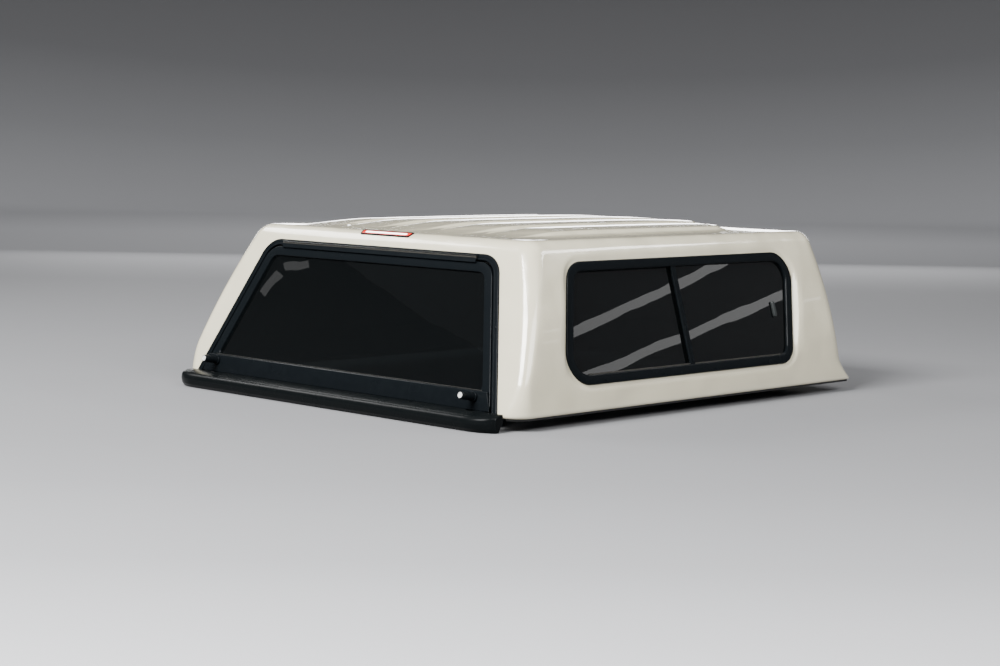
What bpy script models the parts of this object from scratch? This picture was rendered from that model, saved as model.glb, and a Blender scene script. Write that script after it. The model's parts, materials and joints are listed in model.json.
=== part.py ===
"""Fibreglass canopy for the tub of a pickup truck.

The canopy is a one-piece moulded shell with a top-hinged rear door, a sliding window
in each side, a fixed window to the cab and a high brake light in the rear roof edge.

Frame: +X is the vehicle's right, +Y points to the cab, +Z is up. The origin is under the
middle of the canopy, level with the lowest point of the rear lip. Inside that frame the
pieces are laid out from the foot of the rear face: y runs forward from it, and z is the
height over the tub rail that the shell stands on.

Flat units (rear door, side windows, cab window) share one convention. Their local x runs
across the unit, local z runs up it, and local -y points outwards, so that a depth called
"out" is positive towards the outside of the canopy.
"""

import math

import bmesh
import bpy
from mathutils import Matrix, Vector

# Shell
BASE_WIDTH = 1.566
BASE_LENGTH = 1.661
ROOF_HEIGHT = 0.50
ROOF_CROWN = 0.020
SIDE_LEAN_IN = 0.150
SIDE_BOW = 0.027
REAR_RAKE = math.radians(21.2)
FRONT_LEAN_BACK = 0.040
FRONT_FLARE = 0.014
FRONT_FLARE_HEIGHT = 0.075
FLARE_POWER = 1.5
SHELL_WALL = 0.005
BASE_FLANGE = 0.045
FOOT_ROUND = 0.010
ROOF_FILLET = 0.034
REAR_CORNER_FOOT = 0.075
REAR_CORNER_LOW = 0.028
REAR_CORNER_TOP = 0.055
REAR_FOOT_SPREAD = 0.100
FRONT_CORNER_FOOT = 0.032
FRONT_CORNER_LOW = 0.090
FRONT_CORNER_TOP = 0.070
MIN_CORNER = 0.012

# Roof strakes
STRAKE_MARGIN = 0.045
STRAKE_PITCH = 0.205
STRAKE_WIDTH = 0.163
STRAKE_BEVEL = 0.012
STRAKE_HEIGHT = 0.009

# Seals under the base flange
SEAL_THICKNESS = 0.006
SEAL_WIDTH = 0.026
SEAL_INSET = FOOT_ROUND + 0.001

# Rear door surround
SURROUND_FOOT = 0.705
SURROUND_HEAD = 0.532
SURROUND_UNDER_ROOF = 0.0493
SURROUND_TOP = ROOF_HEIGHT / math.cos(REAR_RAKE) - SURROUND_UNDER_ROOF
SURROUND_RADIUS = 0.085
SURROUND_BAND = 0.020
SURROUND_PROUD = 0.006
SURROUND_OVERLAP = 0.0145
SURROUND_RETURN = 0.012
DOOR_SEAL_WIDTH = 0.0045
DOOR_SEAL_HALF = 0.0035

# Rear door
DOOR_GAP = 0.0055
DOOR_BOTTOM = 0.012
DOOR_BAND = 0.031
DOOR_BOTTOM_RAIL = 0.058
DOOR_BACK = 0.008
GLASS_THICKNESS = 0.005
DOOR_CORNER_SET = 0.0175
DOOR_CORNER = SURROUND_RADIUS - DOOR_CORNER_SET
DOOR_GLASS_CORNER = 0.016
GLASS_LAP = 0.010
TRIM_HEIGHT = 0.004
TRIM_PROUD = 0.003
PANEL_RAKE = math.radians(10.0)
PANEL_TOP_OUT = 0.018
PANEL_MARGIN = 0.002
PANEL_CHAMFER = 0.003

# Door hinge
HINGE_HALF_LENGTH = 0.450
HINGE_ROD = 0.0035
HINGE_BORE = 0.0041
HINGE_CHANNEL = 0.0056
HINGE_PLATE = 0.003
HINGE_WING = 0.0105
HINGE_FOOT = 0.0045
HINGE_RISE = 0.0062
HINGE_OPENING = math.radians(78.0)
HINGE_SLOT_MARGIN = math.radians(30.0)

# Rear lip
LIP_REACH = 0.080
LIP_DROP = 0.039
LIP_TOP = 0.0145
LIP_HALF_WIDTH = 0.734
LIP_END_ROUND = 0.100
LIP_END_RATIO = 0.32
LIP_TONGUE = 0.018
LIP_TONGUE_TOP = 0.004
LIP_FOOT_SET = 0.010
TONGUE_END = 0.002
LIP_TONGUE_HALF_WIDTH = 0.650
LIP_CLEARANCE = 0.006
LIP_FACE_RATIOS = [(0.60, 1.00), (0.79, 1.00), (0.94, 0.70), (1.00, 0.32)]
LIP_CROWN_RATIOS = [(0.97, 0.07), (0.84, 0.586), (0.45, 0.931)]
SCOOP_DIAMETER = 0.046
SCOOP_REACH = 0.016
SCOOP_DEPTH = 0.009

# Locks
LOCK_X = 0.602
LOCK_HEIGHT = 0.050
LOCK_DIAMETER = 0.024
LOCK_LENGTH = 0.056
LOCK_COLLAR_DIAMETER = 0.031
LOCK_COLLAR_LENGTH = 0.007
KEY_FACE_DIAMETER = 0.017
KEY_FACE_LENGTH = 0.0015
COLLAR_CHAMFER = 0.002
BARREL_CHAMFER = 0.0015
LOCK_SHAFT = 0.010
LOCK_BORE = 0.0115
CAM_LENGTH = 0.036
CAM_WIDTH = 0.016
CAM_THICKNESS = 0.004
CAM_STANDOFF = 0.003
BORE_PAST = 0.02

# Side windows
WINDOW_REAR = 0.2136
WINDOW_FRONT = 0.2241
WINDOW_BOTTOM = 0.078
WINDOW_UNDER_ROOF = 0.0635
WINDOW_TOP = ROOF_HEIGHT - WINDOW_UNDER_ROOF
WINDOW_LEAN = 0.315
WINDOW_RISE = WINDOW_TOP - WINDOW_BOTTOM
WINDOW_LENGTH = BASE_LENGTH - WINDOW_REAR - WINDOW_LEAN * WINDOW_RISE - WINDOW_FRONT
WINDOW_WIDE_RADIUS = 0.085
WINDOW_TIGHT_RADIUS = 0.075
WINDOW_BAND = 0.030
WINDOW_LAP = 0.012
WINDOW_PROUD = 0.0065
WINDOW_BACK = 0.014
WINDOW_RECESS = 0.004
PAD_RIM = 0.008
PAD_SLOPE = 0.022
PANE_THICKNESS = 0.004
PANE_SPACING = 0.0055
PANE_FRONT_OUT = -0.003
RING_INSET = 0.001
RING_THICKNESS = 0.004
RING_CHAMFER = 0.002
MULLION_OFFSET = -0.012
MULLION_WIDTH = 0.022
MULLION_OUT = 0.003
PANE_OVERLAP = 0.010
SILL_RAIL_HEIGHT = 0.004
SILL_RAIL_OUT = 0.001
LATCH_FROM_FRONT = 0.097
LATCH_DROP = 0.0035
LATCH_LENGTH = 0.052
LATCH_WIDTH = 0.014
LATCH_DEPTH = 0.008

# Cab window
CAB_WINDOW_WIDTH = 1.02
CAB_WINDOW_BOTTOM = 0.110
CAB_WINDOW_UNDER_ROOF = 0.095
CAB_WINDOW_TOP = ROOF_HEIGHT - CAB_WINDOW_UNDER_ROOF
CAB_WINDOW_RADIUS = 0.060
CAB_WINDOW_BAND = 0.026

# Brake light
LIGHT_LENGTH = 0.239
LIGHT_HEIGHT = 0.026
LIGHT_SLANT = 0.008
LIGHT_DEPTH = 0.016
LIGHT_RIM = 0.004
LIGHT_FLOOR = 0.003
LIGHT_PROUD = 0.003
LIGHT_CORNER = 0.004
LIGHT_AROUND = math.radians(55.0)

# Edges
EDGE_CHAMFER = 0.002
FRAME_CHAMFER = 0.003
INNER_CHAMFER = 0.004
SMALL_CHAMFER = 0.001
FULL_ROUND = 0.9

# Fits
TOUCH = 0.0003
SLIDE = 0.0005
CUT_MARGIN = 0.05
MIN_ROUND = 0.004

# Smoothness of the curved stretches
CORNER_STEPS = 6
FILLET_STEPS = 5
ARC_STEPS = 7
WALL_LEVELS = 5
SIDE_SPANS = 4
CIRCLE_STEPS = 30
SOFT_ANGLE = math.radians(32.0)

PAINT = ("shell_paint", (0.74, 0.71, 0.63), 0.18, 0.0)
BLACK_FRAME = ("black_frame", (0.012, 0.015, 0.018), 0.38, 0.3)
BLACK_LIP = ("black_lip", (0.014, 0.016, 0.017), 0.48, 0.0)
GLASS = ("tinted_glass", (0.006, 0.007, 0.008), 0.05, 0.0)
RUBBER = ("rubber", (0.010, 0.010, 0.010), 0.75, 0.0)
ALUMINIUM = ("aluminium", (0.42, 0.42, 0.40), 0.32, 1.0)
CHROME = ("chrome", (0.80, 0.80, 0.78), 0.10, 1.0)
BRAKE_RED = ("brake_red", (0.62, 0.03, 0.02), 0.15, 0.0)

parts = bpy.data.collections.new("pickup_canopy")
cutters = bpy.data.collections.new("canopy_cutters")


def clear_scene():
    """Remove every object and collection of the open scene."""
    for item in list(bpy.data.objects):
        bpy.data.objects.remove(item, do_unlink=True)
    for group in (parts, cutters):
        bpy.context.scene.collection.children.link(group)


def material(finish):
    """Return the Principled material of a finish, made on first use."""
    name, colour, roughness, metallic = finish
    found = bpy.data.materials.get(name)
    if found:
        return found
    made = bpy.data.materials.new(name)
    made.use_nodes = True
    made.diffuse_color = (*colour, 1.0)
    shader = made.node_tree.nodes["Principled BSDF"]
    shader.inputs["Base Color"].default_value = (*colour, 1.0)
    shader.inputs["Roughness"].default_value = roughness
    shader.inputs["Metallic"].default_value = metallic
    return made


def empty(name, location=(0, 0, 0), rotation=(0, 0, 0), parent=None):
    """Add an empty that frames or carries pieces."""
    made = bpy.data.objects.new(name, None)
    made.location = location
    made.rotation_euler = rotation
    made.parent = parent
    made.empty_display_size = 0.05
    parts.objects.link(made)
    bpy.context.view_layer.update()
    return made


def add_object(name, mesh_data, finish, frame, carrier=None, collection=None):
    """Add a mesh as an object that is laid out in frame and carried by carrier."""
    made = bpy.data.objects.new(name, mesh_data)
    (collection or parts).objects.link(made)
    made.parent = carrier or frame
    if carrier:
        made.matrix_parent_inverse = carrier.matrix_world.inverted() @ frame.matrix_world
    if finish:
        mesh_data.materials.append(material(finish))
    return made


def shaded_mesh(name, bm):
    """Turn a bmesh into mesh data that is smooth where its edges are soft."""
    data = bpy.data.meshes.new(name)
    bm.to_mesh(data)
    bm.free()
    data.shade_smooth()
    data.set_sharp_from_angle(angle=SOFT_ANGLE)
    return data


def make_mesh(name, bm):
    """Turn a closed bmesh into mesh data with outward faces."""
    bmesh.ops.recalc_face_normals(bm, faces=bm.faces)
    return shaded_mesh(name, bm)


def cutter(name, mesh_data, frame):
    """Add a hidden solid that only cuts others."""
    made = add_object(name, mesh_data, None, frame, collection=cutters)
    made.display_type = "WIRE"
    made.hide_render = True
    return made


def cut(target, tool):
    """Cut tool out of target."""
    step = target.modifiers.new(tool.name, "BOOLEAN")
    step.operation = "DIFFERENCE"
    step.solver = "EXACT"
    step.object = tool


def mix(a, b, share):
    """Return the value that lies share of the way from a to b."""
    return a + (b - a) * share


def inset_polygon(corners, inset, factors=None):
    """Move each edge of a counterclockwise polygon inwards, by its own factor."""
    count = len(corners)
    factors = factors or [1.0] * count
    lines = []
    for index in range(count):
        start = Vector(corners[index])
        along = (Vector(corners[(index + 1) % count]) - start).normalized()
        inward = Vector((-along.y, along.x))
        lines.append((start + inward * inset * factors[index], along))
    moved = []
    for index in range(count):
        (p, d), (q, e) = lines[index - 1], lines[index]
        reach = ((q - p).x * e.y - (q - p).y * e.x) / (d.x * e.y - d.y * e.x)
        moved.append(p + d * reach)
    return moved


def round_polygon(corners, radii, steps=ARC_STEPS):
    """Replace each corner that has a radius by an arc that meets both edges smoothly."""
    count = len(corners)
    outline = []
    for index in range(count):
        corner = Vector(corners[index])
        radius = radii[index]
        if radius <= 0.0:
            outline.append(corner)
            continue
        back = (Vector(corners[index - 1]) - corner).normalized()
        ahead = (Vector(corners[(index + 1) % count]) - corner).normalized()
        half_angle = back.angle(ahead) / 2.0
        centre = corner + (back + ahead).normalized() * radius / math.sin(half_angle)
        first = corner + back * radius / math.tan(half_angle) - centre
        last = corner + ahead * radius / math.tan(half_angle) - centre
        turn = first.angle_signed(last)
        for step in range(steps + 1):
            angle = -turn * step / steps
            spin = Matrix.Rotation(angle, 2)
            outline.append(centre + spin @ first)
    return outline


def rounded_outline(corners, radii, inset=0.0, factors=None, least=MIN_ROUND):
    """Return an outline that is set in from a rounded polygon."""
    inner = inset_polygon(corners, inset, factors)
    kept = [max(radius - inset, least) if radius > 0.0 else 0.0 for radius in radii]
    return round_polygon(inner, kept)


def sweep_frame(profile, outline_at, closed=True):
    """Sweep a closed profile of (inset, out) points round the outline at each inset."""
    bm = bmesh.new()
    rows = []
    for inset, out in profile:
        rows.append([bm.verts.new((x, -out, z)) for x, z in outline_at(inset)])
    count = len(rows[0])
    for index, row in enumerate(rows):
        following = rows[(index + 1) % len(rows)]
        for step in range(count if closed else count - 1):
            after = (step + 1) % count
            bm.faces.new((row[step], row[after], following[after], following[step]))
    if not closed:
        bm.faces.new([row[0] for row in rows])
        bm.faces.new([row[-1] for row in reversed(rows)])
    return bm


def plate(outline, front, back):
    """Make a flat plate of an outline between two depths, given as out values."""
    bm = bmesh.new()
    near = [bm.verts.new((x, -front, z)) for x, z in outline]
    face = bm.faces.new(near)
    result = bmesh.ops.extrude_face_region(bm, geom=[face])
    moved = [item for item in result["geom"] if isinstance(item, bmesh.types.BMVert)]
    bmesh.ops.translate(bm, verts=moved, vec=(0.0, front - back, 0.0))
    return bm


def loft(sections):
    """Skin a row of like sections and close both ends."""
    bm = bmesh.new()
    rows = [[bm.verts.new(point) for point in section] for section in sections]
    count = len(rows[0])
    for row, following in zip(rows, rows[1:]):
        for step in range(count):
            after = (step + 1) % count
            bm.faces.new((row[step], row[after], following[after], following[step]))
    bm.faces.new(rows[0])
    bm.faces.new(list(reversed(rows[-1])))
    return bm


def cylinder(diameter, near, far, segments=28):
    """Make a cylinder on the local y axis between two depths, given as out values."""
    bm = bmesh.new()
    turn = Matrix.Rotation(math.radians(90.0), 4, "X")
    shift = Matrix.Translation((0.0, -(near + far) / 2.0, 0.0))
    bmesh.ops.create_cone(
        bm,
        cap_ends=True,
        segments=segments,
        radius1=diameter / 2.0,
        radius2=diameter / 2.0,
        depth=abs(far - near),
        matrix=shift @ turn,
    )
    return bm


# Shell form

WALL_TOP = ROOF_HEIGHT - ROOF_FILLET


def wall_half_width(z):
    """Return the shell's half width at a height, before the roof fillet."""
    share = z / ROOF_HEIGHT
    return BASE_WIDTH / 2.0 - SIDE_LEAN_IN * share + 4.0 * SIDE_BOW * share * (1.0 - share)


def rear_y(z):
    """Return the place of the rear face at a height."""
    return z * math.tan(REAR_RAKE)


def fade(z, height):
    """Return the share of a foot's flare that is left at a height."""
    return max(0.0, 1.0 - z / height) ** FLARE_POWER


def front_y(z):
    """Return the place of the front face at a height, with its flared foot."""
    flare = FRONT_FLARE * fade(z, FRONT_FLARE_HEIGHT)
    return BASE_LENGTH - FRONT_FLARE - FRONT_LEAN_BACK * z / ROOF_HEIGHT + flare


def corner_radius(z, foot, low, top, spread):
    """Return the radius of an upright corner, which changes quickly at its foot."""
    return mix(low, top, z / ROOF_HEIGHT) + (foot - low) * fade(z, spread)


def window_half_width(z):
    """Return the half width of the flat pad that a side window is set in."""
    share = (z - WINDOW_BOTTOM) / (WINDOW_TOP - WINDOW_BOTTOM)
    chord = mix(wall_half_width(WINDOW_BOTTOM), wall_half_width(WINDOW_TOP), share)
    return chord - WINDOW_RECESS


def roof_span():
    """Return half the straight stretch of the roof's rear edge, between its corners."""
    corner = max(REAR_CORNER_TOP - ROOF_FILLET, MIN_CORNER)
    return wall_half_width(ROOF_HEIGHT) - ROOF_FILLET - corner


def strake_stations():
    """Return the x stations across the roof, each with the share of the strake height."""
    count = int(2.0 * (roof_span() - STRAKE_MARGIN) / STRAKE_PITCH)
    outer = (count - 1) / 2.0
    stations = []
    for number in range(count):
        centre = (number - outer) * STRAKE_PITCH
        half = STRAKE_WIDTH / 2.0
        stations.append((centre - half, 0.0))
        stations.append((centre - half + STRAKE_BEVEL, 1.0))
        stations.append((centre + half - STRAKE_BEVEL, 1.0))
        stations.append((centre + half, 0.0))
    return stations


def side_stations(z, rear_end, front_end):
    """Return the y stations along a side at a height, with the share of window pad."""
    rise = WINDOW_LEAN * (z - WINDOW_BOTTOM)
    rear_edge = WINDOW_REAR + rise
    front_edge = rear_edge + WINDOW_LENGTH
    stations = [(rear_end, 0.0), (rear_edge - PAD_RIM - PAD_SLOPE, 0.0)]
    stations.append((rear_edge - PAD_RIM, 1.0))
    for number in range(1, SIDE_SPANS):
        stations.append((mix(rear_edge, front_edge, number / SIDE_SPANS), 1.0))
    stations.append((front_edge + PAD_RIM, 1.0))
    stations.append((front_edge + PAD_RIM + PAD_SLOPE, 0.0))
    stations.append((front_end, 0.0))
    return stations


def corner_arc(centre_x, centre_y, radius, start_degrees):
    """Return the inner points of a quarter turn that starts at an angle."""
    points = []
    for step in range(1, CORNER_STEPS):
        angle = math.radians(start_degrees + 90.0 * step / CORNER_STEPS)
        points.append((centre_x + radius * math.cos(angle), centre_y + radius * math.sin(angle)))
    return points


def shell_ring(z, inset=0.0):
    """Return the shell's plan outline at a height, counterclockwise from the rear left."""
    half = wall_half_width(z) - inset
    rear = rear_y(z) + inset
    front = front_y(z) - inset
    rear_radius = corner_radius(
        z, REAR_CORNER_FOOT, REAR_CORNER_LOW, REAR_CORNER_TOP, REAR_FOOT_SPREAD
    )
    rear_radius = max(rear_radius - inset, MIN_CORNER)
    front_radius = corner_radius(
        z, FRONT_CORNER_FOOT, FRONT_CORNER_LOW, FRONT_CORNER_TOP, FRONT_FLARE_HEIGHT
    )
    front_radius = max(front_radius - inset, MIN_CORNER)
    across = [x / roof_span() for x, _ in strake_stations()]
    across = [-1.0] + across + [1.0]
    rear_row = [(share * (half - rear_radius), rear) for share in across]
    front_row = [(share * (half - front_radius), front) for share in across]
    in_window = WINDOW_BOTTOM <= z <= WINDOW_TOP
    right_row = []
    for y, pad in side_stations(z, rear + rear_radius, front - front_radius):
        x = window_half_width(z) - inset if pad and in_window else half
        right_row.append((x, y))
    left_row = [(-x, y) for x, y in reversed(right_row)]
    ring = rear_row
    ring += corner_arc(half - rear_radius, rear + rear_radius, rear_radius, -90.0)
    ring += right_row
    ring += corner_arc(half - front_radius, front - front_radius, front_radius, 0.0)
    ring += list(reversed(front_row))
    ring += corner_arc(-half + front_radius, front - front_radius, front_radius, 90.0)
    ring += left_row
    ring += corner_arc(-half + rear_radius, rear + rear_radius, rear_radius, 180.0)
    return ring


def shell_levels():
    """Return the (z, inset) pairs of the shell's rings from flange to roof edge."""
    edge = FOOT_ROUND * (1.0 - math.sin(math.radians(45.0)))
    levels = [(0.0, BASE_FLANGE), (0.0, FOOT_ROUND), (edge, edge), (FOOT_ROUND, 0.0)]
    for number in (1, 2):
        levels.append((FRONT_FLARE_HEIGHT * number / 3.0, 0.0))
    for number in range(WALL_LEVELS + 1):
        levels.append((mix(WINDOW_BOTTOM, WINDOW_TOP, number / WALL_LEVELS), 0.0))
    for step in range(FILLET_STEPS + 1):
        angle = math.radians(90.0 * step / FILLET_STEPS)
        rise = ROOF_FILLET * math.sin(angle)
        levels.append((WALL_TOP + rise, ROOF_FILLET * (1.0 - math.cos(angle))))
    return levels


def roof_grid(bm, ring):
    """Fill the top ring with a crowned roof that carries the strakes."""
    half_corner = CORNER_STEPS // 2
    across = len(strake_stations()) + 2
    along = len(side_stations(0.0, 0.0, 1.0))
    first = -half_corner
    count_x = across + 2 * half_corner
    count_y = along + 2 * half_corner

    def rim(index):
        return ring[index % len(ring)]

    rear = [rim(first + i) for i in range(count_x)]
    right = [rim(first + count_x - 1 + j) for j in range(count_y)]
    front = [rim(first + count_x + count_y - 2 + i) for i in range(count_x)]
    left = [rim(first + 2 * count_x + count_y - 3 + j) for j in range(count_y)]
    front.reverse()
    left.reverse()
    heights = [0.0] * (half_corner + 1) + [share for _, share in strake_stations()]
    heights += [0.0] * (half_corner + 1)
    run = [0.0] * (half_corner + 2) + [1.0] * (along - 4) + [0.0] * (half_corner + 2)
    grid = []
    for j in range(count_y):
        v = j / (count_y - 1)
        row = []
        for i in range(count_x):
            u = i / (count_x - 1)
            if j == 0:
                row.append(rear[i])
                continue
            if j == count_y - 1:
                row.append(front[i])
                continue
            if i == 0:
                row.append(left[j])
                continue
            if i == count_x - 1:
                row.append(right[j])
                continue
            along_x = left[j].co * (1 - u) + right[j].co * u
            along_y = rear[i].co * (1 - v) + front[i].co * v
            lower = rear[0].co * (1 - u) + rear[-1].co * u
            upper = front[0].co * (1 - u) + front[-1].co * u
            point = along_x + along_y - (lower * (1 - v) + upper * v)
            side = 2.0 * (point.x - left[j].co.x) / (right[j].co.x - left[j].co.x) - 1.0
            length = 2.0 * (point.y - rear[i].co.y) / (front[i].co.y - rear[i].co.y) - 1.0
            crown = ROOF_CROWN * (1.0 - side**2) * (1.0 - length**4)
            point.z = ROOF_HEIGHT + crown + STRAKE_HEIGHT * heights[i] * run[j]
            row.append(bm.verts.new(point))
        grid.append(row)
    for lower_row, upper_row in zip(grid, grid[1:]):
        for i in range(count_x - 1):
            bm.faces.new((lower_row[i], lower_row[i + 1], upper_row[i + 1], upper_row[i]))


def build_shell(canopy):
    """Build the moulded shell as one skin of even thickness, before its openings."""
    bm = bmesh.new()
    rings = []
    for z, inset in shell_levels():
        rings.append([bm.verts.new((x, y, z)) for x, y in shell_ring(z, inset)])
    count = len(rings[0])
    for lower, upper in zip(rings, rings[1:]):
        for step in range(count):
            after = (step + 1) % count
            bm.faces.new((lower[step], lower[after], upper[after], upper[step]))
    roof_grid(bm, rings[-1])
    shell = add_object("shell", shaded_mesh("shell", bm), PAINT, canopy)
    skin = shell.modifiers.new("wall", "SOLIDIFY")
    skin.thickness = SHELL_WALL
    skin.offset = -1.0
    skin.use_even_offset = True
    return shell


def build_base_seals(canopy):
    """Build the rubber seals that the shell's flange stands on."""
    strakes = len(strake_stations()) + 2
    side = len(side_stations(0.0, 0.0, 1.0))
    corner = CORNER_STEPS - 1
    right_first = strakes
    right_last = strakes + corner + side + corner // 2
    front_last = right_last + (corner - corner // 2) + strakes + corner - corner // 2
    spans = {
        "base_seal_right": (right_first, right_last),
        "base_seal_front": (right_last + 1, front_last - 1),
        "base_seal_left": (front_last, front_last + corner // 2 + side + corner),
    }
    for name, (first, last) in spans.items():
        sections = []
        outer = shell_ring(0.0, SEAL_INSET)
        inner = shell_ring(0.0, SEAL_INSET + SEAL_WIDTH)
        for index in range(first, last + 1):
            a = outer[index % len(outer)]
            b = inner[index % len(inner)]
            sections.append([(*a, -TOUCH), (*b, -TOUCH), (*b, -SEAL_THICKNESS), (*a, -SEAL_THICKNESS)])
        add_object(name, make_mesh(name, loft(sections)), RUBBER, canopy)


# Rear door surround and opening

DOOR_SLOPE = (SURROUND_FOOT - SURROUND_HEAD) / SURROUND_TOP
SURROUND_CORNERS = [
    (SURROUND_FOOT, 0.0),
    (SURROUND_HEAD, SURROUND_TOP),
    (-SURROUND_HEAD, SURROUND_TOP),
    (-SURROUND_FOOT, 0.0),
]
SURROUND_RADII = [0.0, SURROUND_RADIUS, SURROUND_RADIUS, 0.0]
OPEN_FOOT = [1.0, 1.0, 1.0, 0.0]
HINGE_OUT = SURROUND_PROUD + TOUCH + HINGE_CHANNEL
HINGE_UP = SURROUND_TOP - SURROUND_BAND + HINGE_RISE
LEAF_TOP = SURROUND_TOP - SURROUND_BAND - DOOR_GAP


def surround_outline(inset):
    """Return the surround's outline at an inset, from its right foot over to its left."""
    return rounded_outline(SURROUND_CORNERS, SURROUND_RADII, inset, OPEN_FOOT)


def leaf_corners():
    """Return the corners of the door leaf in the plane of the rear face."""
    edges = inset_polygon(SURROUND_CORNERS, SURROUND_BAND + DOOR_GAP, OPEN_FOOT)
    foot = edges[0]
    head = edges[1]

    def half_at(v):
        return mix(foot.x, head.x, (v - foot.y) / (head.y - foot.y))

    bottom = half_at(DOOR_BOTTOM)
    top = half_at(LEAF_TOP)
    return [(bottom, DOOR_BOTTOM), (top, LEAF_TOP), (-top, LEAF_TOP), (-bottom, DOOR_BOTTOM)]


def leaf_half_width(v):
    """Return the door leaf's half width at a distance up the rear face."""
    (bottom, low), (top, high) = leaf_corners()[:2]
    return mix(bottom, top, (v - low) / (high - low))


LEAF_RADII = [DOOR_GLASS_CORNER, DOOR_CORNER, DOOR_CORNER, DOOR_GLASS_CORNER]


def leaf_outline(inset):
    """Return the door leaf's outline at an inset, past its edge with the deeper rail at the foot."""
    foot = 1.0
    if inset >= DOOR_BAND - GLASS_LAP:
        foot += (DOOR_BOTTOM_RAIL - DOOR_BAND) / inset
    factors = [1.0, 1.0, 1.0, foot]
    return rounded_outline(leaf_corners(), LEAF_RADII, inset, factors, DOOR_GLASS_CORNER)


def build_surround(shell, rear_face):
    """Build the black frame round the rear opening and cut the opening."""
    profile = [
        (0.0, TOUCH),
        (0.0, SURROUND_PROUD - EDGE_CHAMFER),
        (EDGE_CHAMFER, SURROUND_PROUD),
        (SURROUND_BAND - SMALL_CHAMFER, SURROUND_PROUD),
        (SURROUND_BAND, SURROUND_PROUD - SMALL_CHAMFER),
        (SURROUND_BAND, -SURROUND_RETURN),
        (SURROUND_OVERLAP + SLIDE, -SURROUND_RETURN),
        (SURROUND_OVERLAP + SLIDE, TOUCH),
    ]
    bm = sweep_frame(profile, surround_outline, closed=False)
    add_object("door_surround", make_mesh("door_surround", bm), BLACK_FRAME, rear_face)

    opening = surround_outline(SURROUND_OVERLAP)
    right = Vector(opening[0])
    down = CUT_MARGIN * Vector((DOOR_SLOPE, -1.0))
    outline = [right + down] + opening[1:-1] + [Vector((-(right + down).x, (right + down).y))]
    tool = make_mesh("door_opening", plate(outline, CUT_MARGIN, -2.0 * CUT_MARGIN))
    cut(shell, cutter("door_opening", tool, rear_face))


def build_surround_seal(rear_face):
    """Build the bulb seal that the closed door presses on, fixed to the surround's return."""
    seat = SURROUND_BAND + TOUCH
    shoulder = seat + DOOR_SEAL_WIDTH - SMALL_CHAMFER / 2.0
    front = -SURROUND_RETURN + DOOR_SEAL_HALF
    back = -SURROUND_RETURN - DOOR_SEAL_HALF
    profile = [
        (seat, -SURROUND_RETURN),
        (seat, front),
        (shoulder, front),
        (seat + DOOR_SEAL_WIDTH, -SURROUND_RETURN),
        (shoulder, back),
        (seat, back),
    ]
    bm = sweep_frame(profile, surround_outline, closed=False)
    add_object("door_seal", make_mesh("door_seal", bm), RUBBER, rear_face)


def hinge_arc(radius, start, end, steps=10):
    """Return points of an arc about the hinge axis as (out, up), angles from straight out."""
    points = []
    for step in range(steps + 1):
        angle = mix(start, end, step / steps)
        points.append((radius * math.cos(angle), radius * math.sin(angle)))
    return points


def extrude_along_x(profile, half_length):
    """Extrude an (out, up) profile from one side to the other."""
    sections = []
    for x in (-half_length, half_length):
        sections.append([(x, -out, up) for out, up in profile])
    return loft(sections)


def build_hinge(rear_face, hinge):
    """Build the full-length hinge: a channel on the surround and a rod on the door."""
    half = HINGE_PLATE / 2.0
    slot_out = -math.pi / 2.0 + HINGE_OPENING + HINGE_SLOT_MARGIN
    slot_in = 1.5 * math.pi - HINGE_SLOT_MARGIN
    wing_front = HINGE_PLATE - HINGE_CHANNEL
    channel = hinge_arc(HINGE_CHANNEL, slot_out, math.acos(wing_front / HINGE_CHANNEL), 6)
    channel += [(wing_front, HINGE_WING), (-HINGE_CHANNEL, HINGE_WING)]
    channel += hinge_arc(HINGE_CHANNEL, math.pi, slot_in, 5)
    channel += hinge_arc(HINGE_BORE, slot_in, slot_out, 12)
    mesh = make_mesh("hinge_rail", extrude_along_x(channel, HINGE_HALF_LENGTH))
    rail = add_object("hinge_rail", mesh, BLACK_FRAME, hinge)
    rail.parent = rear_face
    rail.location = hinge.location

    neck = math.asin(half / HINGE_ROD)
    foot_top = LEAF_TOP - HINGE_UP - TOUCH
    foot_back = SURROUND_PROUD + TOUCH - HINGE_OUT
    rod = hinge_arc(HINGE_ROD, -math.pi / 2.0 + neck, 1.5 * math.pi - neck, 14)
    rod += [(-half, foot_top), (foot_back, foot_top), (foot_back, foot_top - HINGE_FOOT)]
    rod.append((half, foot_top - HINGE_FOOT))
    mesh = make_mesh("hinge_leaf", extrude_along_x(rod, HINGE_HALF_LENGTH))
    add_object("hinge_leaf", mesh, ALUMINIUM, hinge)


def panel_out(v):
    """Return how far the lower panel's face stands out at a distance up the rear face."""
    top = DOOR_BOTTOM + DOOR_BOTTOM_RAIL
    return PANEL_TOP_OUT - (top - v) * math.tan(REAR_RAKE - PANEL_RAKE)


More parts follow.
